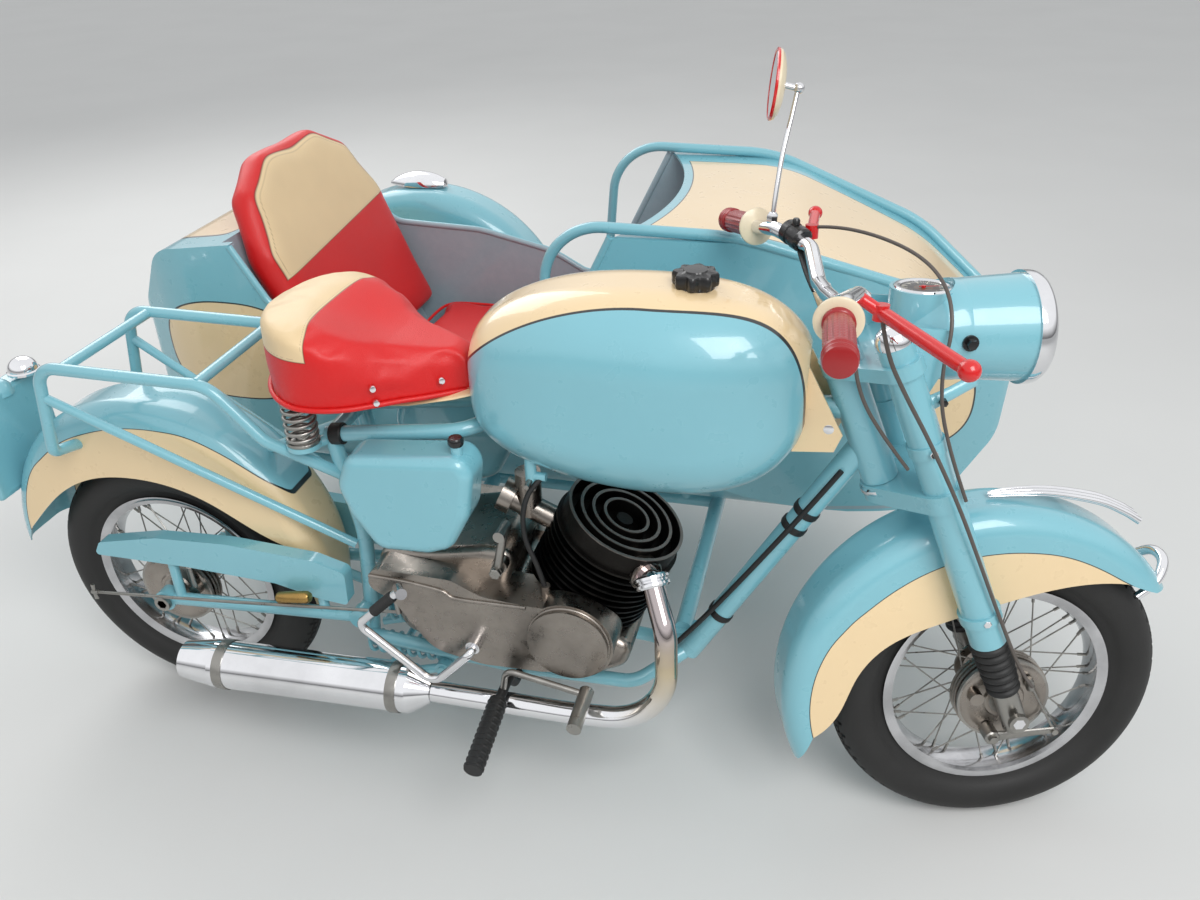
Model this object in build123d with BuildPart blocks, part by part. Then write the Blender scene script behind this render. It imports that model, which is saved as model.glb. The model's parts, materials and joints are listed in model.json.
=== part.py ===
from build123d import *
import math
import os

# A light motorcycle of the 1950s with a one-place sidecar on its left side.
# Millimetres. While it is drawn, X points forward, Y to the left and Z up, the
# motorcycle's middle plane is y = 0 and x = 0 is half-way between its axles.
# Every piece is moved at the end, so that the rig stands centred on the origin.

# Rig
RIG_CENTRE = (-48, 395)          # middle of the whole rig's footprint
WHEELBASE = 1440
SIDECAR_TRACK = 1080             # motorcycle's middle plane to sidecar wheel
SIDECAR_LEAD = 80                # sidecar wheel ahead of the rear wheel
GROUND = 0

# Wheels
TYRE_RADIUS = 260
TYRE_WIDTH = 78
RIM_FLANGE_RADIUS = 180
RIM_BED_RADIUS = 168
RIM_BASE_RADIUS = 160
RIM_CHANNEL = 48                 # between the flanges
BEAD_HALF = 19.5                 # the tyre's foot, so that its sides clear the flanges
RIM_FLANGE = 4
AXLE_RADIUS = 8
AXLE_PLAY = 0.05
HUB_RADIUS = 24
DRUM_RADIUS = 74
SPOKE_RADIUS = 1.8
SPOKES_A_SIDE = 9

# Steering
RAKE = 22                        # degrees from upright
YOKE_OFFSET = 60                 # steering axis to fork legs, at right angles
STEER_REST = 18                  # turned to the left, as it stands
LEG_HALF_SPACING = 88
FORK_TUBE_RADIUS = 24
LOWER_TUBE_RADIUS = 27
TUBE_FOOT = 143                  # lower end of the fork's tubes, along the axis
FRONT_GUARD_HALF = 60
STEM_RADIUS = 15
HEAD_RADIUS = 27
HEAD_BOTTOM = 420                # along the steering axis from the axle's level
HEAD_TOP = 600

# Frame
MAIN_TUBE = 19
RAIL_TUBE = 13
SEAT_RAIL_HALF = 55

# Sidecar body
BODY_MIDDLE = 615                # its middle plane, from the motorcycle's
BODY_HALF = 285
BODY_FLOOR = 300
BODY_WALL = 6
CHASSIS_Z = 258
CHASSIS_TUBE = 15
RIM_BEAD = 7
RAIL_RADIUS = 10

os.makedirs("parts", exist_ok=True)

REAR_AXLE = Vector(-WHEELBASE / 2, 0, TYRE_RADIUS)
SIDECAR_AXLE = Vector(-WHEELBASE / 2 + SIDECAR_LEAD, SIDECAR_TRACK, TYRE_RADIUS)
RAKE_SIN = math.sin(math.radians(RAKE))
RAKE_COS = math.cos(math.radians(RAKE))
STEER_SIN = math.sin(math.radians(STEER_REST))
STEER_COS = math.cos(math.radians(STEER_REST))

# Turning the raked steering leans the wheel and lowers its centre a little.
# The axle's height makes up for both, so that the turned tyre meets the ground.
TYRE_CROWN = TYRE_WIDTH / 2
LEAN_SIN = RAKE_SIN * STEER_SIN
LEANT_RADIUS = (TYRE_RADIUS - TYRE_CROWN) * math.sqrt(1 - LEAN_SIN ** 2) + TYRE_CROWN
TURN_DROP = YOKE_OFFSET * RAKE_SIN * (1 - STEER_COS)
FRONT_AXLE = Vector(WHEELBASE / 2, 0, LEANT_RADIUS + TURN_DROP)

# The steering plane: local x forward from the axis, local y left, local z up it
STEER_ORIGIN = FRONT_AXLE - Vector(YOKE_OFFSET * RAKE_COS, 0, YOKE_OFFSET * RAKE_SIN)
STEER_UP = Vector(-RAKE_SIN, 0, RAKE_COS)
STEER_PLANE = Plane(origin=STEER_ORIGIN, x_dir=(RAKE_COS, 0, RAKE_SIN), z_dir=STEER_UP)
STEER_AXIS = Axis(STEER_ORIGIN, STEER_UP)
TO_RIG = Location((-RIG_CENTRE[0], -RIG_CENTRE[1], GROUND))


def finish(name, piece, steered=False):
    """Turns a steered piece to its rest angle, sets any piece in the rig and writes it."""
    if steered:
        piece.part = piece.part.rotate(STEER_AXIS, STEER_REST)
    piece.part = piece.part.moved(TO_RIG)
    piece.part.label = name
    export_step(piece.part, "parts/" + name + ".step")


def largest(piece, count=1):
    """The piece without the crumbs that a cut left beside it."""
    with BuildPart() as kept:
        add(piece.solids().sort_by(SortBy.VOLUME)[-count:])
    return kept


def run_tube(points, radius, bends=None):
    """Adds a round tube along straight runs joined by tangent arcs."""
    with BuildLine() as path:
        if len(points) == 2:
            Line(*points)
        else:
            FilletPolyline(*points, radius=bends)
    with BuildSketch(Plane(origin=path.line @ 0, z_dir=path.line % 0)) as section:
        Circle(radius)
    sweep(section.sketch, path=path.line)


def rod(start, end, radius, mode=Mode.ADD):
    """Adds a straight round bar from one point to another."""
    start = Vector(*start)
    reach = Vector(*end) - start
    with Locations(Plane(origin=start, z_dir=reach)):
        Cylinder(radius, reach.length, align=(Align.CENTER, Align.CENTER, Align.MIN), mode=mode)


def both_sides(points, side):
    """The same points on the left, side 1, or the right, side -1."""
    return [(x, side * y, z) for x, y, z in points]


def wheel_plane(centre):
    """Local x across the wheel, local y outwards from its axle."""
    return Plane(origin=centre, x_dir=(0, 1, 0), z_dir=(1, 0, 0))


def steer_point(forward, left, up):
    """A point given along the steering plane's own directions."""
    return STEER_PLANE.from_local_coords(Vector(forward, left, up))


# Tyres, rims with their hubs and spokes
def make_tyre(centre):
    """A tyre of few faces: its section's corners lie on the circle of its crown."""
    angles = (math.asin(LEAN_SIN), math.radians(45), math.radians(90))
    side = [
        (TYRE_CROWN * math.sin(a), TYRE_RADIUS - TYRE_CROWN + TYRE_CROWN * math.cos(a))
        for a in angles
    ]
    side.append((BEAD_HALF, RIM_BED_RADIUS))
    with BuildPart() as tyre:
        with BuildSketch(wheel_plane(centre)):
            with BuildLine():
                Polyline(*side, *[(-y, r) for y, r in reversed(side)], close=True)
            make_face()
        revolve(axis=Axis(centre, (0, 1, 0)))
    return tyre


def make_wheel(centre, drum_side):
    """Rim, hub with a brake drum on one side, and tangent spokes, as one wheel."""
    flange_at = 36
    sides = (
        # hub height, hub radius where the spokes start, rim height
        (drum_side * 38, DRUM_RADIUS - 5, drum_side * 8),
        (-drum_side * flange_at, 38, -drum_side * 8),
    )
    with BuildPart() as wheel:
        with BuildSketch(wheel_plane(centre)):
            with Locations((0, RIM_BASE_RADIUS)):
                Rectangle(
                    RIM_CHANNEL + 2 * RIM_FLANGE,
                    RIM_BED_RADIUS - RIM_BASE_RADIUS,
                    align=(Align.CENTER, Align.MIN),
                )
            flange_y = (RIM_CHANNEL + RIM_FLANGE) / 2
            with Locations((-flange_y, RIM_BASE_RADIUS), (flange_y, RIM_BASE_RADIUS)):
                Rectangle(
                    RIM_FLANGE,
                    RIM_FLANGE_RADIUS - RIM_BASE_RADIUS,
                    align=(Align.CENTER, Align.MIN),
                )
        revolve(axis=Axis(centre, (0, 1, 0)))
        with BuildSketch(wheel_plane(centre)):
            with Locations((0, 0)):
                Rectangle(100, HUB_RADIUS, align=(Align.CENTER, Align.MIN))
            with Locations((drum_side * 38, 0)):
                Rectangle(22, DRUM_RADIUS, align=(Align.CENTER, Align.MIN))
            with Locations((-drum_side * flange_at, 0)):
                Rectangle(5, 43, align=(Align.CENTER, Align.MIN))
        revolve(axis=Axis(centre, (0, 1, 0)))
        for hub_y, hub_r, rim_y in sides:
            for i in range(SPOKES_A_SIDE):
                at_hub = math.radians(360 * i / SPOKES_A_SIDE)
                lean = math.radians(20 if i % 2 else -20)
                at_rim = at_hub + lean
                start = centre + Vector(hub_r * math.cos(at_hub), hub_y, hub_r * math.sin(at_hub))
                reach = (RIM_BED_RADIUS + RIM_BASE_RADIUS) / 2
                end = centre + Vector(reach * math.cos(at_rim), rim_y, reach * math.sin(at_rim))
                rod(start, end, SPOKE_RADIUS)
        with Locations(Plane(origin=centre, z_dir=(0, 1, 0))):
            Hole(AXLE_RADIUS + AXLE_PLAY)
    return wheel


def make_axle(centre, ends, plate_y, plate_side):
    """Fixed axle with its nuts, and a brake plate that closes the drum."""
    with BuildPart() as axle:
        rod(centre + Vector(0, ends[0], 0), centre + Vector(0, ends[1], 0), AXLE_RADIUS)
        for end, way in ((ends[0], 1), (ends[1], -1)):
            at = centre + Vector(0, end, 0)
            rod(at, at + Vector(0, 8 * way, 0), 15)
        if plate_side:
            at = centre + Vector(0, plate_y, 0)
            rod(at, at + Vector(0, plate_side * 6, 0), DRUM_RADIUS - 2)
            rod(at, at + Vector(0, plate_side * 10, 0), 26)
    return axle


def make_guard(centre, radius, half_width, wall, crown, valance, ends):
    """A valanced mudguard: a crowned arch round the wheel, open towards it.

    valance is the lower edge of its sides from the rear to the front, and ends the
    outline beyond it, both as points (x, z) from the guard's centre.
    """
    middle_half = half_width - wall / 2
    middle_top = radius - wall / 2
    with BuildPart() as guard:
        with BuildSketch(wheel_plane(centre)):
            with BuildLine():
                FilletPolyline(
                    (-middle_half, radius * 0.4),
                    (-middle_half, middle_top),
                    (middle_half, middle_top),
                    (middle_half, radius * 0.4),
                    radius=crown,
                )
            trace(line_width=wall)
        revolve(axis=Axis(centre, (0, 1, 0)))
        with BuildSketch(Plane(origin=centre, x_dir=(1, 0, 0), z_dir=(0, -1, 0))):
            with BuildLine():
                Spline(*valance)
                Polyline(valance[-1], *ends, valance[0])
            make_face()
        extrude(amount=half_width + 5, both=True, mode=Mode.INTERSECT)
    return guard


# Rear wheel, its axle and brake plate
rear_tyre = make_tyre(REAR_AXLE)
rear_wheel = make_wheel(REAR_AXLE, -1)
rear_axle = make_axle(REAR_AXLE, (-108, 108), -52, -1)

# Sidecar wheel on its stub axle
sidecar_tyre = make_tyre(SIDECAR_AXLE)
sidecar_wheel = make_wheel(SIDECAR_AXLE, -1)

# Front wheel, drawn straight ahead and turned with the steering
front_tyre = make_tyre(FRONT_AXLE)
front_wheel = make_wheel(FRONT_AXLE, -1)
front_axle = make_axle(FRONT_AXLE, (-122, 122), -52, -1)

# Fork: stem through the head, two yokes, upper tubes with their caps, and the
# ears that carry the headlight
EAR_Y = 80
with BuildPart() as fork:
    yokes = (
        # bottom and top along the steering axis
        (HEAD_BOTTOM - 30, HEAD_BOTTOM - 1),
        (HEAD_TOP + 1, HEAD_TOP + 22),
    )
    for low, high in yokes:
        with BuildSketch(STEER_PLANE.offset(low)):
            with Locations((YOKE_OFFSET, LEG_HALF_SPACING), (YOKE_OFFSET, -LEG_HALF_SPACING)):
                Circle(FORK_TUBE_RADIUS + 6)
            with Locations((0, 0)):
                Circle(HEAD_RADIUS + 3)
            make_hull()
        extrude(amount=high - low)
    rod(steer_point(0, 0, HEAD_BOTTOM - 40), steer_point(0, 0, HEAD_TOP + 34), STEM_RADIUS)
    for side in (1, -1):
        left = side * LEG_HALF_SPACING
        foot = steer_point(YOKE_OFFSET, left, TUBE_FOOT)
        rod(foot, steer_point(YOKE_OFFSET, left, 645), FORK_TUBE_RADIUS)
        rod(foot, steer_point(YOKE_OFFSET, left, HEAD_BOTTOM - 20), LOWER_TUBE_RADIUS)
        low = steer_point(YOKE_OFFSET, left, 186)
        rod(low, steer_point(YOKE_OFFSET, left, 202), LOWER_TUBE_RADIUS + 4)
        low = steer_point(YOKE_OFFSET, left, 478)
        rod(low, steer_point(YOKE_OFFSET, left, 496), FORK_TUBE_RADIUS + 2.5)
        with Locations(Plane(origin=steer_point(YOKE_OFFSET, left, 645), z_dir=STEER_UP)):
            Sphere(22, arc_size1=0)
        with BuildSketch(Plane.XZ.offset(-side * EAR_Y)):
            with BuildLine():
                Polyline((468, 880), (552, 872), (566, 848), (552, 822), (520, 760), (504, 760), close=True)
            make_face()
        extrude(amount=-side * 4)
    with BuildSketch(STEER_PLANE.offset(184)):
        with Locations((YOKE_OFFSET, 0)):
            Rectangle(120, 2 * FRONT_GUARD_HALF + 0.6)
    extrude(amount=20, mode=Mode.SUBTRACT)

# Lower legs with the axle's lugs, and the ribbed gaiters over their tops
GAITER_FOOT = 44
GAITER_RIBS = 7
GAITER_PITCH = (TUBE_FOOT - GAITER_FOOT) / GAITER_RIBS
with BuildPart() as fork_legs:
    for side in (1, -1):
        left = side * LEG_HALF_SPACING
        foot = steer_point(YOKE_OFFSET, left, -30)
        rod(foot, steer_point(YOKE_OFFSET, left, GAITER_FOOT), 19)
        top = steer_point(YOKE_OFFSET, left, TUBE_FOOT)
        rod(steer_point(YOKE_OFFSET, left, GAITER_FOOT), top, 15)
    rod(FRONT_AXLE - Vector(0, 130, 0), FRONT_AXLE + Vector(0, 130, 0), AXLE_RADIUS + 0.3, Mode.SUBTRACT)

with BuildPart() as gaiters:
    for side in (1, -1):
        left = side * LEG_HALF_SPACING
        for i in range(GAITER_RIBS):
            low = GAITER_FOOT + i * GAITER_PITCH
            neck = low + 0.65 * GAITER_PITCH
            rod(steer_point(YOKE_OFFSET, left, low), steer_point(YOKE_OFFSET, left, neck), 24 + i)
            top = steer_point(YOKE_OFFSET, left, low + GAITER_PITCH)
            rod(steer_point(YOKE_OFFSET, left, neck), top, 20 + i)
        low = steer_point(YOKE_OFFSET, left, GAITER_FOOT - 5)
        high = steer_point(YOKE_OFFSET, left, TUBE_FOOT + 5)
        rod(low, high, 15.05, Mode.SUBTRACT)

# Headlight: a long rounded barrel, and its rim with the glass
LAMP_Z = 848
LAMP_REAR = 496
LAMP_FRONT = 678
LAMP_RADIUS = 75
RIM_RADIUS = 79
DIAL_X = 540
DIAL_Z = LAMP_Z + 50
LAMP_AXIS = Axis((0, 0, LAMP_Z), (1, 0, 0))
with BuildPart() as headlight:
    with BuildSketch(Plane.XZ):
        with BuildLine():
            Line((LAMP_FRONT, LAMP_Z), (LAMP_FRONT, LAMP_Z + LAMP_RADIUS))
            Line((LAMP_FRONT, LAMP_Z + LAMP_RADIUS), (590, LAMP_Z + 70))
            ThreePointArc((590, LAMP_Z + 70), (524, LAMP_Z + 50), (LAMP_REAR, LAMP_Z + 12))
            Line((LAMP_REAR, LAMP_Z + 12), (LAMP_REAR, LAMP_Z))
            Line((LAMP_REAR, LAMP_Z), (LAMP_FRONT, LAMP_Z))
        make_face()
    revolve(axis=LAMP_AXIS)
    rod((548, -EAR_Y, LAMP_Z), (548, EAR_Y, LAMP_Z), 9)
    rod((DIAL_X, 0, LAMP_Z + 10), (DIAL_X, 0, LAMP_Z + 61), 45)
    rod((DIAL_X, 0, LAMP_Z + 90), (DIAL_X, 0, DIAL_Z), 40, Mode.SUBTRACT)
    add(fork.part, mode=Mode.SUBTRACT)
headlight = largest(headlight)

with BuildPart() as headlight_rim:
    with BuildSketch(Plane.XZ):
        with BuildLine():
            Line((LAMP_FRONT, LAMP_Z), (LAMP_FRONT, LAMP_Z + RIM_RADIUS))
            Line((LAMP_FRONT, LAMP_Z + RIM_RADIUS), (LAMP_FRONT + 12, LAMP_Z + RIM_RADIUS))
            ThreePointArc(
                (LAMP_FRONT + 12, LAMP_Z + RIM_RADIUS),
                (LAMP_FRONT + 30, LAMP_Z + 48),
                (LAMP_FRONT + 38, LAMP_Z + 8),
            )
            Line((LAMP_FRONT + 38, LAMP_Z + 8), (LAMP_FRONT + 38, LAMP_Z))
            Line((LAMP_FRONT + 38, LAMP_Z), (LAMP_FRONT, LAMP_Z))
        make_face()
    revolve(axis=LAMP_AXIS)

with BuildPart() as speedometer:
    rod((DIAL_X, 0, DIAL_Z), (DIAL_X, 0, DIAL_Z + 9), 39.9)
    rod((DIAL_X, 0, DIAL_Z + 9), (DIAL_X, 0, DIAL_Z + 13), 36)
    rod((DIAL_X, 0, DIAL_Z + 10), (DIAL_X, 0, DIAL_Z + 20), 31, Mode.SUBTRACT)

# Handlebar on two risers, with grips, levers and a mirror
GRIP_START = (357, 250, 942)
GRIP_END = (330, 365, 931)
with BuildPart() as handlebar:
    for side in (1, -1):
        bends = ((408, 0, 902), (409, 52, 904), (414, 130, 937), (376, 205, 948), GRIP_START)
        run_tube(both_sides(bends, side), 11, (30, 40, 60))
        rod(steer_point(14, side * 34, HEAD_TOP + 18), (408, side * 34, 902), 14)
    add(fork.part, mode=Mode.SUBTRACT)

with BuildPart() as grips:
    for side in (1, -1):
        start, end = both_sides((GRIP_START, GRIP_END), side)
        along = (Vector(*end) - Vector(*start)).normalized()
        rod(start, end, 17)
        rod(start, Vector(*start) + along * 5, 29)
        for low, high in ((6, 14), (88, 118)):
            rod(Vector(*start) + along * low, Vector(*start) + along * high, 19)
    add(handlebar.part, mode=Mode.SUBTRACT)

with BuildPart() as levers:
    lever_sets = (
        # clamp on the bar, pivot, tip, blade radius, ball radius
        ((404, -150, 942), (434, -158, 922), (488, -312, 900), 9, 13),
        ((398, 165, 946), (424, 172, 950), (446, 246, 962), 8, 11),
    )
    for clamp, pivot, tip, blade, ball in lever_sets:
        reach = Vector(*tip) - Vector(*pivot)
        rod(clamp, pivot, 8)
        rod(Vector(*pivot) - Vector(0, 0, 10), Vector(*pivot) + Vector(0, 0, 10), 10)
        rod(pivot, tip, blade)
        with Locations(Plane(origin=tip, z_dir=reach)):
            Sphere(ball)
    add(handlebar.part, mode=Mode.SUBTRACT)

with BuildPart() as mirror:
    run_tube(((372, 214, 950), (385, 230, 1045), (412, 256, 1146)), 4, (60,))
    rod((412, 256, 1144), (386, 258, 1150), 5)
    with Locations(Plane(origin=(384, 258, 1150), z_dir=(-1, 0.12, 0.1))):
        Cylinder(52, 10)
        with Locations((0, 0, 9)):
            Cylinder(46, 8)
    add(handlebar.part, mode=Mode.SUBTRACT)

# Front mudguard, held between the fork tubes by four lugs
FRONT_GUARD_RADIUS = 314
FRONT_VALANCE = (
    (-266, -71), (-226, -20), (-205, 42), (-165, 95), (-87, 134), (20, 171), (110, 192), (189, 192),
)
FRONT_ENDS = ((240, 172), (400, 172), (400, 450), (-450, 450), (-450, -150), (-283, -125))
with BuildPart() as front_mudguard:
    add(
        make_guard(
            FRONT_AXLE + Vector(-30, 0, 10), FRONT_GUARD_RADIUS, FRONT_GUARD_HALF, 3, 34,
            FRONT_VALANCE, FRONT_ENDS,
        ).part
    )
    for side in (1, -1):
        for up in (250, 300):
            inner_end = steer_point(YOKE_OFFSET, side * (FRONT_GUARD_HALF - 1.5), up)
            rod(inner_end, steer_point(YOKE_OFFSET, side * (LEG_HALF_SPACING - 20), up), 9)
    add(fork.part, mode=Mode.SUBTRACT)

# Main frame: head, backbone, down tube, cradle, seat rails and uprights
PIVOT = (-330, 285)
STAND_PIVOT = (-190, 190)
STAND_PIN = 8
REAR_GUARD_CENTRE = Vector(-720, 0, 330)
REAR_GUARD_RADIUS = 312
with BuildPart() as frame:
    run_tube(((459, 0, 735), (250, 0, 718), (-90, 0, 668)), 17, (600,))
    rod((475, 0, 672), (231, 0, 240), MAIN_TUBE)
    for side in (1, -1):
        cradle = ((236, 0, 246), (150, 62, 206), (-60, 70, 208), (-330, 70, 232))
        run_tube(both_sides(cradle, side), 12, (60, 300))
        rails = ((-60, 0, 668), (-125, SEAT_RAIL_HALF, 660), (-352, SEAT_RAIL_HALF, 630))
        run_tube(both_sides(rails, side), RAIL_TUBE, (60,))
        uprights = ((-345, 55, 632), (-318, 50, 440), (-330, 56, 232))
        run_tube(both_sides(uprights, side), RAIL_TUBE, (300,))
        rod((-345, side * 55, 624), (-374, side * 92, 624), 9)
        rod((-374, side * 92, 626), (-374, side * 92, 634), 27)
        with Locations((STAND_PIVOT[0], side * 67, STAND_PIVOT[1] + 6)):
            Box(30, 6, 36)
        rod((STAND_PIVOT[0], side * 64, STAND_PIVOT[1]), (STAND_PIVOT[0], side * 94, STAND_PIVOT[1]), STAND_PIN)
    rod((PIVOT[0], -74, PIVOT[1]), (PIVOT[0], 74, PIVOT[1]), 16)
    rod((-345, -55, 630), (-345, 55, 630), RAIL_TUBE)
    rod((-345, 0, 625), (-520, 0, 545), 9)
    rod((-335, 0, 285), (-430, 0, 315), 9)
    rod((420, -28, 728), (420, 28, 728), 8)
    rod(steer_point(0, 0, HEAD_BOTTOM), steer_point(0, 0, HEAD_TOP), HEAD_RADIUS)
    rod(steer_point(0, 0, HEAD_BOTTOM - 60), steer_point(0, 0, HEAD_TOP + 60), STEM_RADIUS + AXLE_PLAY, Mode.SUBTRACT)
    across = Vector(0, 70, 0)
    rod(REAR_GUARD_CENTRE - across, REAR_GUARD_CENTRE + across, REAR_GUARD_RADIUS, Mode.SUBTRACT)

ARM_COVER = (
    # x, z of the pressed cover along each arm
    (-345, 316), (-342, 384), (-400, 402), (-560, 412), (-700, 405), (-822, 378), (-838, 350),
    (-650, 350), (-480, 342), (-400, 322),
)
with BuildPart() as rear_arm:
    for side in (1, -1):
        rod((PIVOT[0], side * 74, PIVOT[1]), (PIVOT[0], side * 98, PIVOT[1]), 19)
        rod((PIVOT[0], side * 86, PIVOT[1]), (REAR_AXLE.X, side * 86, REAR_AXLE.Z), 12)
        rod((REAR_AXLE.X, side * 74, REAR_AXLE.Z), (REAR_AXLE.X, side * 98, REAR_AXLE.Z), 20)
        with BuildSketch(Plane.XZ.offset(-side * 100)):
            with BuildLine():
                FilletPolyline(*ARM_COVER, radius=(8, 12, 30, 200, 60, 10, 6, 60, 40, 20), close=True)
            make_face()
        extrude(amount=side * 26)
        rod((-400, side * 86, 290), (-400, side * 86, 340), 9)
        rod((-690, side * 86, 270), (-690, side * 86, 350), 9)
    rod(REAR_AXLE - Vector(0, 130, 0), REAR_AXLE + Vector(0, 130, 0), AXLE_RADIUS + 0.3, Mode.SUBTRACT)

# Rear mudguard, luggage rack and number plate box
REAR_VALANCE = (
    (-277, 31), (-232, 77), (-172, 128), (-110, 159), (-30, 172), (50, 165), (125, 138),
    (190, 99), (262, 66),
)
REAR_ENDS = ((283, 20), (288, -60), (400, -60), (400, 400), (-400, 400), (-400, -5), (-296, -5))
with BuildPart() as rear_mudguard:
    add(
        make_guard(
            REAR_GUARD_CENTRE,
            REAR_GUARD_RADIUS,
            66,
            3,
            36,
            REAR_VALANCE,
            REAR_ENDS,
        ).part
    )

RACK_HALF = 118
RACK_TOP = 736
with BuildPart() as luggage_rack:
    for side in (1, -1):
        loop = (
            (-832, 60, 560), (-835, RACK_HALF, 575), (-812, RACK_HALF, RACK_TOP),
            (-506, RACK_HALF, RACK_TOP - 4), (-430, 112, 640), (-338, 60, 560),
        )
        run_tube(both_sides(loop, side), 10, (14, 40, 60, 60))
        stay = ((-818, RACK_HALF, 680), (-332, 60, 420))
        rod(*both_sides(stay, side), 8)
    for x in (-770, -525):
        rod((x, -RACK_HALF, RACK_TOP - 2), (x, RACK_HALF, RACK_TOP - 2), 9)
    add(frame.part, mode=Mode.SUBTRACT)
    add(rear_mudguard.part, mode=Mode.SUBTRACT)
luggage_rack = largest(luggage_rack)

with BuildPart() as plate_holder:
    with Locations((-1035, 0, 525)):
        Box(46, 180, 190)
    fillet(plate_holder.edges(), 8)
    with Locations((-1035, 0, 619)):
        Sphere(28, arc_size1=0)
    rod((-1020, 0, 470), (-980, 0, 470), 8)
    across = Vector(0, 70, 0)
    rod(REAR_GUARD_CENTRE - across, REAR_GUARD_CENTRE + across, REAR_GUARD_RADIUS, Mode.SUBTRACT)

# Fuel tank: rounded sections along its length, with a tunnel for the backbone
with BuildPart() as tank:
    tank_sections = (
        # x, half width, bottom, top, corner radius
        (-104, 46, 690, 800, 40),
        (-62, 90, 634, 856, 74),
        (30, 114, 603, 891, 92),
        (120, 124, 590, 903, 100),
        (200, 126, 589, 904, 102),
        (300, 112, 606, 892, 92),
        (362, 82, 645, 864, 70),
        (394, 42, 706, 828, 38),
    )
    for x, half, low, high, corner in tank_sections:
        with BuildSketch(Plane(origin=(x, 0, (low + high) / 2), x_dir=(0, 1, 0), z_dir=(1, 0, 0))):
            RectangleRounded(2 * half, high - low, corner)
    loft()
    with Locations((150, 0, 660)):
        Box(700, 44, 194, mode=Mode.SUBTRACT)
    add(frame.part, mode=Mode.SUBTRACT)
    rod((-8, -70, 640), (-8, -70, 590), 9)
    rod((-8, -70, 604), (16, -70, 604), 7)

with BuildPart() as filler_cap:
    with BuildSketch(Plane.XY.offset(900)):
        with Locations((228, 0)):
            Circle(27)
            with PolarLocations(26, 8):
                Circle(8)
    extrude(amount=20)
    rod((228, 0, 920), (228, 0, 927), 18)
    rod((228, 0, 906), (228, 0, 880), 22)
    add(tank.part, mode=Mode.SUBTRACT)

with BuildPart() as head_gusset:
    for side in (1, -1):
        with BuildSketch(Plane.XZ.offset(-side * 32)):
            with BuildLine():
                Polyline((378, 838), (448, 704), (438, 676), (352, 668), (392, 760), close=True)
            make_face()
        extrude(amount=side * 4)
    add(tank.part, mode=Mode.SUBTRACT)
    add(frame.part, mode=Mode.SUBTRACT)

# Saddle on its two coil springs
SADDLE_HALF = (
    # x, half width, from the nose back
    (-104, 30), (-130, 42), (-165, 66), (-200, 86), (-235, 109), (-272, 131), (-312, 142),
    (-352, 140), (-390, 118), (-420, 84), (-440, 42),
)
SADDLE_TOP = ((-96, 778), (-180, 786), (-250, 806), (-330, 836), (-400, 846), (-450, 836))
SADDLE_BASE = 716
with BuildPart() as saddle:
    with BuildSketch(Plane.XY.offset(SADDLE_BASE)):
        with BuildLine():
            left_edge = Spline(*SADDLE_HALF)
            right_edge = Spline(*[(x, -half) for x, half in SADDLE_HALF])
            Line(left_edge @ 0, right_edge @ 0)
            Spline(left_edge @ 1, (-448, 0), right_edge @ 1)
        make_face()
    extrude(amount=160)
    with BuildSketch(Plane.XZ):
        with BuildLine():
            top_edge = Spline(*SADDLE_TOP)
            Polyline(top_edge @ 1, (-450, SADDLE_BASE), (-96, SADDLE_BASE), top_edge @ 0)
        make_face()
    extrude(amount=200, both=True, mode=Mode.INTERSECT)
    fillet(saddle.faces().sort_by(Axis.Z)[-1].edges(), 20)

with BuildPart() as saddle_springs:
    for side in (1, -1):
        for i in range(8):
            low = 634 + i * 10.25
            rod((-374, side * 92, low), (-374, side * 92, low + 5), 27)
            rod((-374, side * 92, low + 5), (-374, side * 92, low + 10.25), 20)
    rod((-374, -92, 711), (-374, 92, 711), 4)
    rod((-110, 0, 690), (-110, 0, 716), 10)
    with Locations((-240, 0, 713)):
        Box(300, 30, 5)

with BuildPart() as tool_box:
    for side in (1, -1):
        with BuildSketch(Plane.XZ.offset(-side * 148)):
            with BuildLine():
                FilletPolyline(
                    (-302, 592), (-280, 646), (-92, 664), (-76, 636), (-88, 560), (-122, 496),
                    (-160, 482), (-246, 478), (-286, 540),
                    radius=(40, 30, 26, 34, 60, 40, 30, 34, 50), close=True,
                )
            make_face()
        extrude(amount=side * 76)
    fillet(tool_box.faces().filter_by(Axis.Y).edges(), 18)
    for side in (1, -1):
        rod((-104, side * 120, 650), (-104, side * 120, 676), 9)

# Engine: cases with their side covers, a finned barrel and head
BARREL_LEAN = 25
BARREL_BASE = Vector(46, 0, 333)
BARREL_UP = Vector(math.sin(math.radians(BARREL_LEAN)), 0, math.cos(math.radians(BARREL_LEAN)))
BARREL_PLANE = Plane(origin=BARREL_BASE, x_dir=(0, 1, 0), z_dir=BARREL_UP)
CASE_OUTLINE = (
    # x, z, corner radius
    (-287, 398, 26), (-272, 440, 26), (-170, 452, 60), (-95, 468, 40), (-34, 468, 24),
    (-54, 400, 12), (154, 306, 20), (140, 262, 30), (80, 228, 40), (-130, 228, 60), (-250, 275, 40),
)
COVER_OUTLINE = (
    (-277, 399, 20), (-270, 438, 22), (-133, 435, 30), (-80, 410, 40), (-1, 404, 40), (60, 404, 0),
    (60, 280, 0), (11, 271, 30), (-90, 268, 60), (-175, 285, 60), (-235, 375, 40),
)
COVER_ROUND = (60, 343, 73)
CASE_HALF = 94
COVER_Y = 140
FIN_RADIUS = 106
FIN_GAP = 1.5
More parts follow.
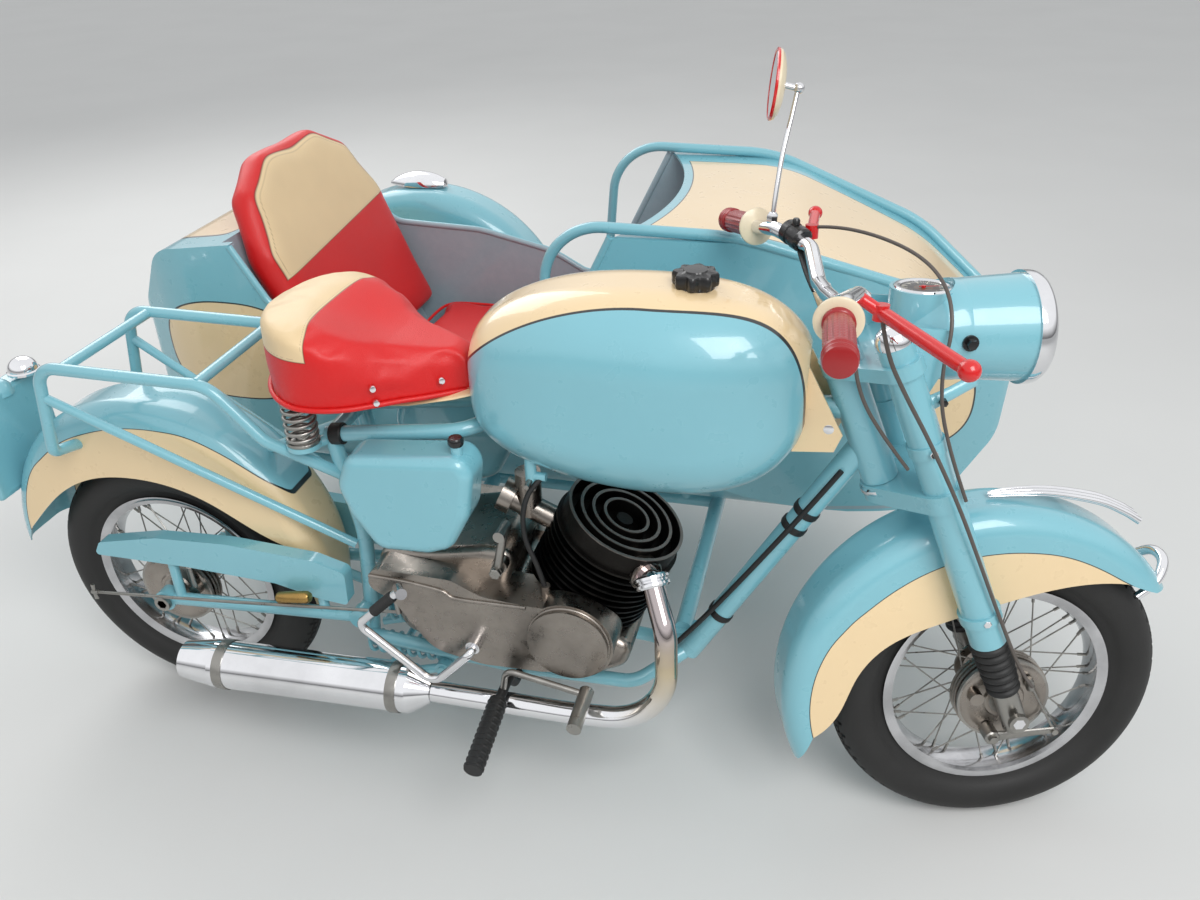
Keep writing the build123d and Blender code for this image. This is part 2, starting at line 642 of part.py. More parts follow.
with BuildPart() as engine_cases:
    with BuildSketch(Plane.XZ):
        points = [(x, z) for x, z, radius in CASE_OUTLINE]
        with BuildLine():
            FilletPolyline(*points, radius=[radius for x, z, radius in CASE_OUTLINE], close=True)
        make_face()
    extrude(amount=CASE_HALF, both=True)
    fillet(engine_cases.faces().filter_by(Axis.Y).edges(), 17)
    for side in (1, -1):
        with BuildPart(mode=Mode.PRIVATE) as cover:
            with BuildSketch(Plane.XZ.offset(-side * 60)):
                points = [(x, z) for x, z, radius in COVER_OUTLINE]
                with BuildLine():
                    FilletPolyline(
                        *points, radius=[radius for x, z, radius in COVER_OUTLINE], close=True
                    )
                make_face()
                with Locations((COVER_ROUND[0], COVER_ROUND[1])):
                    Circle(COVER_ROUND[2])
            extrude(amount=-side * (COVER_Y - 60))
        add(cover.part)
        x, z, radius = COVER_ROUND
        rod((x, side * 130, z), (x, side * (COVER_Y + 10), z), radius - 7)
    rod((14, -101, 372), (14, -101, 420), 8)
    rod((-60, -70, 448), (-60, -106, 448), 13)
    fins = (BARREL_BASE + BARREL_UP * 22, BARREL_BASE + BARREL_UP * 170)
    rod(*fins, FIN_RADIUS + FIN_GAP, Mode.SUBTRACT)
    rod(BARREL_BASE, BARREL_BASE + BARREL_UP * 22, 70)

FIN_PITCH = 13
BARREL_FINS = 9
INLET = ((60, 0, 453), (-64, 0, 511))
PORT = ((105, 0, 458), (180, -84, 446))
with BuildPart() as cylinder:
    for i in range(BARREL_FINS):
        low = BARREL_BASE + BARREL_UP * (30 + i * FIN_PITCH)
        rod(low, low + BARREL_UP * 4, FIN_RADIUS)
    rod(*INLET, 26, Mode.SUBTRACT)
    rod(*PORT, 28, Mode.SUBTRACT)
    rod(BARREL_BASE + BARREL_UP * 22, BARREL_BASE + BARREL_UP * 142, 58)

with BuildPart() as cylinder_head:
    rod(BARREL_BASE + BARREL_UP * 148, BARREL_BASE + BARREL_UP * 152, FIN_RADIUS)
    rod(*PORT, 28, Mode.SUBTRACT)
    rod(BARREL_BASE + BARREL_UP * 142, BARREL_BASE + BARREL_UP * 160, 58)
    for outer in (100, 80, 60, 40):
        with BuildSketch(BARREL_PLANE.offset(152)):
            Circle(outer)
            Circle(outer - 5, mode=Mode.SUBTRACT)
        extrude(amount=36)
    rod(BARREL_BASE + BARREL_UP * 160, BARREL_BASE + BARREL_UP * 180, 14)

with BuildPart() as carburettor:
    rod(*INLET, 20)
    rod((-38, 0, 488), (-38, 0, 566), 21)
    rod((-64, 0, 511), (-84, 0, 520), 30)
    add(engine_cases.part, mode=Mode.SUBTRACT)
    add(cylinder.part, mode=Mode.SUBTRACT)

# Exhaust pipe and silencer
SILENCER_FRONT = (-175, -165, 214)
SILENCER_REAR = (-640, -176, 206)
with BuildPart() as exhaust_pipe:
    route = (
        PORT[0], (186, -91, 445), (216, -136, 385), (222, -152, 215), (60, -154, 204),
        SILENCER_FRONT,
    )
    run_tube(route, 18, (24, 60, 100, 300))
    rod((165, -67, 448), (176, -79, 447), 24)
    add(cylinder.part, mode=Mode.SUBTRACT)
    add(cylinder_head.part, mode=Mode.SUBTRACT)
    add(engine_cases.part, mode=Mode.SUBTRACT)
exhaust_pipe = largest(exhaust_pipe)

with BuildPart() as silencer:
    front = Vector(*SILENCER_FRONT)
    along = (Vector(*SILENCER_REAR) - front).normalized()
    body_plane = Plane(origin=front, z_dir=along)
    for start, end, low_r, high_r in ((0, 36, 20, 42), (36, 400, 42, 42), (400, 462, 42, 33)):
        with BuildSketch(body_plane.offset(start)):
            Circle(low_r)
        with BuildSketch(body_plane.offset(end)):
            Circle(high_r)
        loft()
    add(exhaust_pipe.part, mode=Mode.SUBTRACT)
    with BuildSketch(body_plane.offset(450)):
        Circle(25)
    extrude(amount=12, mode=Mode.SUBTRACT)

with BuildPart() as footrests:
    for side in (1, -1):
        bar = ((-50, 66, 204), (-50, 108, 206), (-50, 128, 238), (-50, 190, 238))
        run_tube(both_sides(bar, side), 8, (14, 14))
        rod((-50, side * 186, 238), (-48, side * 318, 218), 15)
    add(frame.part, mode=Mode.SUBTRACT)
footrests = largest(footrests, 2)

with BuildPart() as brake_pedal:
    run_tube(((-50, -162, 236), (-42, -163, 285), (88, -166, 262)), 5.5, (16,))
    rod((92, -158, 262), (92, -240, 258), 12)
    add(footrests.part, mode=Mode.SUBTRACT)

with BuildPart() as gear_lever:
    lever_path = (
        (-95, -134, 318), (-97, -172, 316), (-166, -176, 244), (-284, -178, 350), (-196, -184, 440),
    )
    run_tube(lever_path, 7, (12, 24, 14))
    rod((-97, -140, 318), (-97, -160, 318), 12)
    rod((-206, -172, 432), (-186, -202, 446), 9)
    add(engine_cases.part, mode=Mode.SUBTRACT)

with BuildPart() as kick_lever:
    rod((-60, -100, 448), (-60, -120, 448), 10)
    rod((-60, -114, 448), (-42, -116, 530), 7)
    rod((-42, -104, 530), (-42, -142, 532), 9)
    add(engine_cases.part, mode=Mode.SUBTRACT)

with BuildPart() as rear_springs:
    for side in (1, -1):
        for i in range(7):
            start = Vector(-345 + i * 22, side * 45, 196)
            rod(start, start + Vector(10, 0, 0), 22)
            rod(start + Vector(10, 0, 0), start + Vector(22, 0, 0), 16)
    add(frame.part, mode=Mode.SUBTRACT)

# Centre stand, folded back under the frame
STAND_LENGTH = 205
STAND_FOLD = 18
with BuildPart() as centre_stand:
    fold = math.radians(STAND_FOLD)
    reach = Vector(-math.cos(fold), 0, -math.sin(fold))
    for side in (1, -1):
        hub = Vector(STAND_PIVOT[0], side * 74, STAND_PIVOT[1])
        rod(hub, hub + Vector(0, side * 16, 0), 14)
        leg = Vector(STAND_PIVOT[0], side * 82, STAND_PIVOT[1])
        rod(leg, leg + reach * STAND_LENGTH, 8)
        rod(leg + reach * (STAND_LENGTH - 8), leg + reach * (STAND_LENGTH - 8) + Vector(0, side * 26, 0), 9)
    mid = Vector(STAND_PIVOT[0], 0, STAND_PIVOT[1]) + reach * 120
    rod(mid - Vector(0, 82, 0), mid + Vector(0, 82, 0), 7)
    pivot = Vector(STAND_PIVOT[0], 0, STAND_PIVOT[1])
    rod(pivot - Vector(0, 100, 0), pivot + Vector(0, 100, 0), STAND_PIN + AXLE_PLAY, Mode.SUBTRACT)

# Sidecar chassis with its clamps on the motorcycle, pads and stub axle
NEAR_RAIL = 440
FAR_RAIL = 790
CHASSIS_FRONT = 215
CHASSIS_REAR = -720
CLAMP_X = -265
with BuildPart() as sidecar_chassis:
    for y in (NEAR_RAIL, FAR_RAIL):
        rod((CHASSIS_FRONT, y, CHASSIS_Z), (CHASSIS_REAR, y, CHASSIS_Z), CHASSIS_TUBE)
        for x in (150, -200, -640):
            rod((x, y, CHASSIS_Z), (x, y, BODY_FLOOR), 14)
    for x, near in ((CHASSIS_FRONT, 30), (CLAMP_X, 84), (CHASSIS_REAR, NEAR_RAIL)):
        rod((x, near, CHASSIS_Z), (x, FAR_RAIL, CHASSIS_Z), CHASSIS_TUBE)
    for x, near, z in ((CHASSIS_FRONT + 8, 16, 238), (CLAMP_X, 80, 230)):
        with Locations((x, near + 20, z)):
            Box(44, 40, 42)
    rod((CLAMP_X, 330, CHASSIS_Z), (-326, 54, 500), 11)
    rod((SIDECAR_AXLE.X, FAR_RAIL, SIDECAR_AXLE.Z), SIDECAR_AXLE - Vector(0, 75, 0), CHASSIS_TUBE)
    add(frame.part, mode=Mode.SUBTRACT)

with BuildPart() as sidecar_axle:
    add(make_axle(SIDECAR_AXLE, (-75, 74), -52, -1).part)

# Sidecar body: floor, sides and tail in one hollow tub, and a nose deck on it
BODY_SIDE = (
    # x, z, corner radius, seen from the side
    (-985, 300, 90), (-1000, 600, 150), (-905, 765, 90), (-700, 790, 20), (20, 846, 10),
    (280, 846, 330), (560, 740, 300), (745, 600, 60), (735, 440, 90), (640, 300, 120),
)
BODY_PLAN = (
    # x, half width, corner radius, from the tail forward
    (-1000, 225, 60), (-880, BODY_HALF, 200), (200, BODY_HALF, 500), (560, 205, 300), (750, 100, 60),
)
COCKPIT_RIM = (
    # x, z, corner radius, from the tail forward
    (-728, 783, 0), (-655, 655, 60), (-430, 645, 200), (-255, 604, 200), (-160, 550, 50),
    (-105, 585, 60), (25, 846, 0),
)
BODY_CORNER = 100
BACK_RAKE = 23.3
BACK_THICK = 84
BACK_FOOT = Vector(-533, BODY_MIDDLE, 484)
BACK_UP = Vector(-math.sin(math.radians(BACK_RAKE)), 0, math.cos(math.radians(BACK_RAKE)))
BACK_OUT = Vector(math.cos(math.radians(BACK_RAKE)), 0, math.sin(math.radians(BACK_RAKE)))
BACK_BOARD = Plane(origin=BACK_FOOT - BACK_OUT * BACK_THICK, x_dir=(0, 1, 0), z_dir=BACK_OUT)
SIDE_PLANE = Plane(origin=(0, BODY_MIDDLE, 0), x_dir=(1, 0, 0), z_dir=(0, -1, 0))


def side_outline(inset):
    """The body's side outline, set in by the wall's thickness or by nothing."""
    points = [(x, z) for x, z, radius in BODY_SIDE]
    with BuildLine() as outline:
        FilletPolyline(*points, radius=[radius for x, z, radius in BODY_SIDE], close=True)
    make_face(outline.edges())
    if inset:
        offset(amount=-inset, mode=Mode.REPLACE)


def make_hull(inset):
    """What the side outline, the plan and the cross-section have in common."""
    left = [(x, half, radius) for x, half, radius in BODY_PLAN]
    right = [(x, -half, radius) for x, half, radius in reversed(BODY_PLAN)]
    plan = left + right
    with BuildPart() as hull:
        with BuildSketch(SIDE_PLANE):
            side_outline(inset)
        extrude(amount=BODY_HALF + 10, both=True)
        with BuildSketch(Plane(origin=(0, BODY_MIDDLE, 200), x_dir=(1, 0, 0), z_dir=(0, 0, 1))):
            with BuildLine():
                FilletPolyline(*[(x, y) for x, y, r in plan], radius=[r for x, y, r in plan], close=True)
            make_face()
            if inset:
                offset(amount=-inset, mode=Mode.REPLACE)
        extrude(amount=800, mode=Mode.INTERSECT)
        with BuildSketch(Plane(origin=(-1100, BODY_MIDDLE, 0), x_dir=(0, 1, 0), z_dir=(1, 0, 0))) as section:
            with Locations((0, BODY_FLOOR - 8)):
                Rectangle(2 * BODY_HALF, 620, align=(Align.CENTER, Align.MIN))
            fillet(section.vertices().group_by(Axis.Y)[0], BODY_CORNER)
            if inset:
                offset(amount=-inset, mode=Mode.REPLACE)
        extrude(amount=2000, mode=Mode.INTERSECT)
    return hull


outer_hull = make_hull(0)
inner_hull = make_hull(BODY_WALL)

with BuildPart() as sidecar_deck:
    add(outer_hull.part)
    with BuildSketch(SIDE_PLANE):
        side_outline(BODY_WALL)
    extrude(amount=BODY_HALF + 20, both=True, mode=Mode.SUBTRACT)
    with BuildSketch(SIDE_PLANE):
        with BuildLine():
            Polyline((25, 1000), (25, 700), (690, 540), (728, 592), (780, 640), (780, 1000), close=True)
        make_face()
    extrude(amount=BODY_HALF + 20, both=True, mode=Mode.INTERSECT)
    with BuildSketch(Plane(origin=(0, BODY_MIDDLE, 700), x_dir=(1, 0, 0), z_dir=(0, 0, 1))):
        with Locations((-562, 0)):
            Circle(657)
    extrude(amount=300, mode=Mode.SUBTRACT)

with BuildPart() as sidecar_tub:
    add(outer_hull.part)
    add(inner_hull.part, mode=Mode.SUBTRACT)
    with BuildSketch(SIDE_PLANE):
        rim_points = [(x, z) for x, z, radius in COCKPIT_RIM]
        bends = [radius for x, z, radius in COCKPIT_RIM]
        with BuildLine():
            FilletPolyline(*rim_points, (25, 1000), (-728, 1000), radius=bends + [0, 0], close=True)
        make_face()
    extrude(amount=BODY_HALF + 20, both=True, mode=Mode.SUBTRACT)
    with BuildSketch(Plane(origin=(0, BODY_MIDDLE, 700), x_dir=(1, 0, 0), z_dir=(0, 0, 1))):
        with Locations((60, 0)):
            Rectangle(120, 2 * (BODY_HALF - BODY_WALL))
        with Locations((-562, 0)):
            Circle(657, mode=Mode.INTERSECT)
    extrude(amount=300, mode=Mode.SUBTRACT)
    with BuildSketch(BACK_BOARD):
        Rectangle(530, 520, align=(Align.CENTER, Align.MIN))
    extrude(amount=BACK_THICK, mode=Mode.SUBTRACT)
    with BuildSketch(BACK_BOARD):
        with Locations((0, -155)):
            Rectangle(2 * (BODY_HALF - BODY_WALL), 515, align=(Align.CENTER, Align.MIN))
    extrude(amount=-10)
    for side in (1, -1):
        y = BODY_MIDDLE + side * (BODY_HALF - BODY_WALL / 2)
        rim_line = [(x, y, z) for x, z, radius in COCKPIT_RIM]
        run_tube(rim_line, RIM_BEAD, bends[1:-1])
    with Locations((-380, BODY_MIDDLE, BODY_FLOOR + 66)):
        Box(380, 2 * (BODY_HALF - BODY_WALL), 12)
    for x in (-564, -196):
        with Locations((x, BODY_MIDDLE, BODY_FLOOR + 33)):
            Box(12, 2 * (BODY_HALF - 110), 66)
    with Locations((100, BODY_MIDDLE, BODY_FLOOR + 9)):
        Box(500, 340, 6)
    add(sidecar_deck.part, mode=Mode.SUBTRACT)

with BuildPart() as sidecar_rails:
    for side in (1, -1):
        rail_points = (
            # x, from the body's middle plane, z
            (-117, 271, 584), (-92, 271, 861), (250, 271, 855), (560, 194, 749), (728, 106, 622),
        )
        rail = [(x, BODY_MIDDLE + side * half, z) for x, half, z in rail_points]
        run_tube(rail, RAIL_RADIUS, (110, 300, 250))
    add(sidecar_tub.part, mode=Mode.SUBTRACT)
    add(sidecar_deck.part, mode=Mode.SUBTRACT)
sidecar_rails = largest(sidecar_rails, 2)

with BuildPart() as sidecar_cushion:
    with Locations((-360, BODY_MIDDLE, 426)):
        Box(340, 520, 104)
    fillet(sidecar_cushion.edges(), 24)

# Backrest: a raked pad with cut-off top corners
with BuildPart() as sidecar_backrest:
    with BuildSketch(Plane(origin=BACK_FOOT, x_dir=(0, 1, 0), z_dir=BACK_OUT)):
        with BuildLine():
            Polyline(
                (-250, 0), (250, 0), (262, 300), (212, 424), (110, 484),
                (-110, 484), (-212, 424), (-262, 300), close=True,
            )
        make_face()
    extrude(amount=-BACK_THICK)
    fillet(sidecar_backrest.edges(), 14)

# Sidecar mudguard on two arms from the body, with its marker lamp
SIDE_GUARD_CENTRE = Vector(SIDECAR_AXLE.X, SIDECAR_TRACK, 328)
SIDE_GUARD_RADIUS = 360
with BuildPart() as sidecar_mudguard:
    add(
        make_guard(
            SIDE_GUARD_CENTRE,
            SIDE_GUARD_RADIUS,
            70,
            3,
            44,
            ((-335, 17), (-250, 115), (-130, 183), (0, 205), (130, 183), (250, 115), (335, 17)),
            ((335, 400), (-335, 400)),
        ).part
    )
    for shift in (-105, 105):
        x = SIDE_GUARD_CENTRE.X + shift
        rod((x, BODY_MIDDLE + BODY_HALF, 560), (x, SIDECAR_TRACK - 68, 560), 9)

SIDE_LAMP_Z = 690
with BuildPart() as sidecar_lamp:
    with BuildSketch(Plane.XZ.offset(-SIDECAR_TRACK)):
        with BuildLine():
            Line((-732, SIDE_LAMP_Z), (-732, SIDE_LAMP_Z + 5))
            ThreePointArc((-732, SIDE_LAMP_Z + 5), (-668, SIDE_LAMP_Z + 32), (-585, SIDE_LAMP_Z + 16))
            Line((-585, SIDE_LAMP_Z + 16), (-580, SIDE_LAMP_Z))
            Line((-580, SIDE_LAMP_Z), (-732, SIDE_LAMP_Z))
        make_face()
    revolve(axis=Axis((0, SIDECAR_TRACK, SIDE_LAMP_Z), (1, 0, 0)))
    with Locations((-660, SIDECAR_TRACK, SIDE_LAMP_Z - 50)):
        Box(200, 80, 100, mode=Mode.SUBTRACT)
    for x in (-690, -610):
        rod((x, SIDECAR_TRACK, SIDE_LAMP_Z + 4), (x, SIDECAR_TRACK, 680), 9)
    add(sidecar_mudguard.part, mode=Mode.SUBTRACT)
sidecar_lamp = largest(sidecar_lamp)

# Cables and hose that are held along their whole length
def held_cable(points, radius):
    """A tube whose every bend is as large as its two runs allow."""
    corners = [Vector(*point) for point in points]
    bends = []
    for before, corner, after in zip(corners, corners[1:], corners[2:]):
        run = min((corner - before).length, (after - corner).length)
        turn = math.radians((corner - before).get_angle(after - corner))
        bends.append(0.45 * run / math.tan(turn / 2))
    print("cable bends", [round(bend) for bend in bends])
    run_tube(points, radius, bends)


with BuildPart() as front_cable:
    held_cable(
        (
            (434, -165, 916), (440, -174, 876), (470, -168, 820), (520, -148, 740),
            (575, -134, 640), (622, -124, 540), (668, -118, 440), (712, -112, 350), (752, -88, 296),
            (757, -62, 288),
        ),
        3,
    )
    add(levers.part, mode=Mode.SUBTRACT)
    add(front_axle.part, mode=Mode.SUBTRACT)

with BuildPart() as fuel_hose:
    held_cable(
        (
            (12, -70, 604), (-6, -82, 590), (-17, -96, 556), (-16, -101, 506), (4, -101, 456),
            (14, -101, 412),
        ),
        4,
    )
    add(tank.part, mode=Mode.SUBTRACT)
    add(engine_cases.part, mode=Mode.SUBTRACT)

with BuildPart() as loom:
    held_cable(((452, -22, 640), (412, -26, 575), (352, -27, 480), (296, -26, 392), (246, -24, 316), (205, -26, 262)), 4)
    add(frame.part, mode=Mode.SUBTRACT)

ROOT_PIECES = {
    "frame": frame, "rear_arm": rear_arm, "rear_springs": rear_springs,
    "rear_mudguard": rear_mudguard, "luggage_rack": luggage_rack, "plate_holder": plate_holder,
    "tank": tank, "filler_cap": filler_cap, "head_gusset": head_gusset,
    "saddle": saddle, "saddle_springs": saddle_springs, "tool_box": tool_box,
    "engine_cases": engine_cases, "cylinder": cylinder, "cylinder_head": cylinder_head,
    "carburettor": carburettor, "exhaust_pipe": exhaust_pipe, "silencer": silencer,
    "footrests": footrests, "brake_pedal": brake_pedal, "gear_lever": gear_lever,
    "kick_lever": kick_lever,
    "rear_axle": rear_axle, "fuel_hose": fuel_hose, "loom": loom,
    "sidecar_chassis": sidecar_chassis, "sidecar_axle": sidecar_axle,
    "sidecar_tub": sidecar_tub, "sidecar_deck": sidecar_deck, "sidecar_rails": sidecar_rails,
    "sidecar_cushion": sidecar_cushion, "sidecar_backrest": sidecar_backrest,
    "sidecar_mudguard": sidecar_mudguard, "sidecar_lamp": sidecar_lamp,
    "rear_tyre": rear_tyre, "rear_wheel": rear_wheel,
    "sidecar_tyre": sidecar_tyre, "sidecar_wheel": sidecar_wheel,
    "centre_stand": centre_stand,
}
STEERED_PIECES = {
    "front_tyre": front_tyre, "front_wheel": front_wheel, "front_axle": front_axle,
    "fork": fork, "fork_legs": fork_legs, "gaiters": gaiters,
    "headlight": headlight, "headlight_rim": headlight_rim, "speedometer": speedometer,
    "handlebar": handlebar, "grips": grips, "levers": levers, "mirror": mirror,
    "front_mudguard": front_mudguard, "front_cable": front_cable,
}
for name, piece in ROOT_PIECES.items():
    finish(name, piece)
for name, piece in STEERED_PIECES.items():
    finish(name, piece, steered=True)
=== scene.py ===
# %% [markdown]
# # A light sidecar motorcycle
# The frame holds every tube, panel and wheel at its real size, in metres. This
# lesson dresses it: enamel and chrome first, then the tyres, spokes, springs and
# seats, each as a surface worked out on a grid of two parameters.

# %% Load the frame
import functools
import json
import math

import bmesh
import bpy
import numpy as np
from mathutils import Matrix, Vector


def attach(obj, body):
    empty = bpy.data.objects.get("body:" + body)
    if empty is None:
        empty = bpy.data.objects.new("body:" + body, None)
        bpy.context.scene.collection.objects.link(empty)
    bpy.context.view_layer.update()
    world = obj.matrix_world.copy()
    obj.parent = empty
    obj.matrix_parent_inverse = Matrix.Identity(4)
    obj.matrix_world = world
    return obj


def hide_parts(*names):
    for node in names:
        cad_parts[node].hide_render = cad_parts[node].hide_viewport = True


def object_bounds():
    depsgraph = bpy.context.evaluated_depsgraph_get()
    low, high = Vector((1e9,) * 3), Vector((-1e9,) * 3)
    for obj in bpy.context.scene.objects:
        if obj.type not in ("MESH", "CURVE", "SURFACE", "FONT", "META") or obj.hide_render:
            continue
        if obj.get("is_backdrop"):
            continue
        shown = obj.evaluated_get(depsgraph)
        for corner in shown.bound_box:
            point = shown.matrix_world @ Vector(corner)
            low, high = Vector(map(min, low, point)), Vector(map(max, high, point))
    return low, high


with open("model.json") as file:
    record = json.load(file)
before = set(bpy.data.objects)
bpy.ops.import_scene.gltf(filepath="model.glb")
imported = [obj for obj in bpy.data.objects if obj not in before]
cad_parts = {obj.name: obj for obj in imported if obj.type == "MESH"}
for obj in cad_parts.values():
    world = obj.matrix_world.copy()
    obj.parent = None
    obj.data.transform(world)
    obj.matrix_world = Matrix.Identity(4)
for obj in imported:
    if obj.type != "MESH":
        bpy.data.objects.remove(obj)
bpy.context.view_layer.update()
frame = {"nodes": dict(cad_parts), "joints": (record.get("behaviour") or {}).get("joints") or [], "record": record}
NODES = frame["nodes"]

# %% [markdown]
# The rig's origin is the middle of its footprint. The motorcycle's own middle plane
# and the point half-way between its axles are easier to think in, so places below
# are given from there and moved once, by `rig`.

# %% Places on the rig
JOINTS = {joint["name"]: joint for joint in frame["joints"]}
REAR_HUB = np.array(JOINTS["rear_wheel_spin"]["pos_m"])
SIDE_HUB = np.array(JOINTS["sidecar_wheel_spin"]["pos_m"])
BIKE_X = REAR_HUB[0] + 0.720
BIKE_Y = REAR_HUB[1]
RAKE = math.radians(22)
STEER_REST = math.radians(18)
STEER_POINT = np.array(JOINTS["steering"]["pos_m"])
STEER_UP = np.array(JOINTS["steering"]["axis"])
ACROSS = np.array((0.0, 1.0, 0.0))


def rig(points):
    """Points of the motorcycle's own frame, moved to the rig's frame."""
    return np.asarray(points, float) + (BIKE_X, BIKE_Y, 0.0)


def turned(points, angle=STEER_REST):
    """Points turned about the steering axis: Rodrigues' formula on whole arrays."""
    arm = np.asarray(points, float) - STEER_POINT
    along = (arm @ STEER_UP)[..., None] * STEER_UP
    across = arm - along
    side = np.cross(STEER_UP, across)
    return STEER_POINT + along + across * math.cos(angle) + side * math.sin(angle)


def steered(points):
    """Points given with the fork straight ahead, turned to where it stands."""
    return turned(rig(points))


def steered_way(direction):
    """A direction given with the fork straight ahead, turned to where it stands."""
    return steered(direction) - steered((0, 0, 0))


def fork_point(forward, left, up):
    """A place on the fork: forward of the steering axis, left of it and up along it."""
    ahead = np.array([math.cos(RAKE), 0, math.sin(RAKE)])
    straight = np.array([-math.sin(RAKE), 0, math.cos(RAKE)])
    middle = STEER_POINT - (BIKE_X, BIKE_Y, 0)
    return middle + forward * ahead + left * ACROSS + up * straight


# %% [markdown]
# The photograph was taken standing, from above the rig's right side. A camera is a
# place and three directions: it looks along yaw and pitch, and rolls a little.
# The lens follows from the width of the view: focal length over 1200 picture units,
# times a 36 mm sensor.

# %% Camera
EYE = (0.443, -1.355, 1.449)
YAW, PITCH, ROLL = 0.2591, -0.5344, -0.0295
FOCAL_UNITS, PICTURE_WIDTH = 1044.5, 1200

look = np.array([-math.sin(YAW) * math.cos(PITCH), math.cos(YAW) * math.cos(PITCH), math.sin(PITCH)])
level = np.cross(look, (0, 0, 1))
level /= np.linalg.norm(level)
upright = np.cross(level, look)
right = math.cos(ROLL) * level + math.sin(ROLL) * upright
up = -math.sin(ROLL) * level + math.cos(ROLL) * upright

camera_data = bpy.data.cameras.new("camera")
camera_data.sensor_fit = "HORIZONTAL"
camera_data.sensor_width = 36.0
camera_data.lens = 36.0 * FOCAL_UNITS / PICTURE_WIDTH
camera_data.clip_end = 60
camera = bpy.data.objects.new("camera", camera_data)
bpy.context.scene.collection.objects.link(camera)
axes = np.column_stack([right, up, -look, rig(EYE)])
camera.matrix_world = Matrix(np.vstack([axes, (0, 0, 0, 1)]).tolist())
bpy.context.scene.camera = camera
print("lens", round(camera_data.lens, 2), "mm")

# %% [markdown]
# Gloss paint and chrome show what stands around them. The room is a soft white sky
# with two broad lamps, and what it shows in a reflection darkens towards the horizon,
# as a hall does. The floor is pale and matt, and keeps the shadow.

# %% Studio
scene = bpy.context.scene
scene.view_settings.view_transform = "Standard"
world = bpy.data.worlds.new("studio")
scene.world = world
world.use_nodes = True
sky = world.node_tree
sky.nodes.clear()


def sky_node(kind, *inputs):
    """A node of the world's tree, fed in order with numbers or other outputs."""
    made = sky.nodes.new("ShaderNode" + kind)
    for socket, value in zip(made.inputs, inputs):
        if isinstance(value, bpy.types.NodeSocket):
            sky.links.new(value, socket)
        else:
            socket.default_value = value
    return made


def larger(a, b):
    """The larger of two numbers, as a Math node."""
    made = sky_node("Math", a, b)
    made.operation = "MAXIMUM"
    return made.outputs[0]


up_there = sky_node("SeparateXYZ", sky_node("TexCoord").outputs["Generated"]).outputs[2]
hall = sky_node("MapRange", up_there, 0.02, 0.30, 0.22, 1.10).outputs[0]
ray = sky_node("LightPath").outputs
lighting = sky_node("Background", (0.95, 0.97, 1.0, 1), 0.62)
shown = sky_node("Background", (0.93, 0.94, 0.95, 1), larger(hall, ray["Is Camera Ray"]))
seen = larger(larger(ray["Is Camera Ray"], ray["Is Glossy Ray"]), ray["Is Transmission Ray"])
mixed = sky_node("MixShader", seen, lighting.outputs[0], shown.outputs[0])
sky_node("OutputWorld", mixed.outputs[0])


def soft_lamp(name, place, target, size, power):
    """A square area lamp at place, turned towards target."""
    data = bpy.data.lights.new(name, "AREA")
    data.size = size
    data.energy = power
    lamp = bpy.data.objects.new(name, data)
    scene.collection.objects.link(lamp)
    lamp.location = place
    lamp.rotation_euler = (Vector(target) - Vector(place)).to_track_quat("-Z", "Y").to_euler()


soft_lamp("key_lamp", (1.8, -2.6, 3.4), (0, 0, 0.4), 2.2, 95)
soft_lamp("far_lamp", (-2.6, 2.2, 3.0), (0, 0, 0.4), 2.6, 55)
print("studio ready")

# %% [markdown]
# A finish is a Principled shader fed by a little procedural noise. Colours are
# written as they look on a screen and turned to linear light by the sRGB curve.

# %% Material helpers


def linear(colour):
    """The sRGB curve undone: a screen colour from 0 to 1 as linear light."""
    c = np.asarray(colour, float)
    return tuple(np.where(c <= 0.04045, c / 12.92, ((c + 0.055) / 1.055) ** 2.4)) + (1.0,)


class Field:
    """A number worked out at each point of a surface, written like plain arithmetic."""

    def __init__(self, finish, socket):
        self.finish, self.socket = finish, socket

    def __add__(self, other):
        return self.finish.maths("ADD", self, other)

    def __sub__(self, other):
        return self.finish.maths("SUBTRACT", self, other)

    def __rsub__(self, other):
        return self.finish.maths("SUBTRACT", other, self)

    def __mul__(self, other):
        return self.finish.maths("MULTIPLY", self, other)

    def __truediv__(self, other):
        return self.finish.maths("DIVIDE", self, other)

    def __pow__(self, other):
        return self.finish.maths("POWER", self, other)

    def __gt__(self, other):
        return self.finish.maths("GREATER_THAN", self, other)

    def __lt__(self, other):
        return self.finish.maths("LESS_THAN", self, other)

    def __abs__(self):
        return self.finish.maths("ABSOLUTE", self)


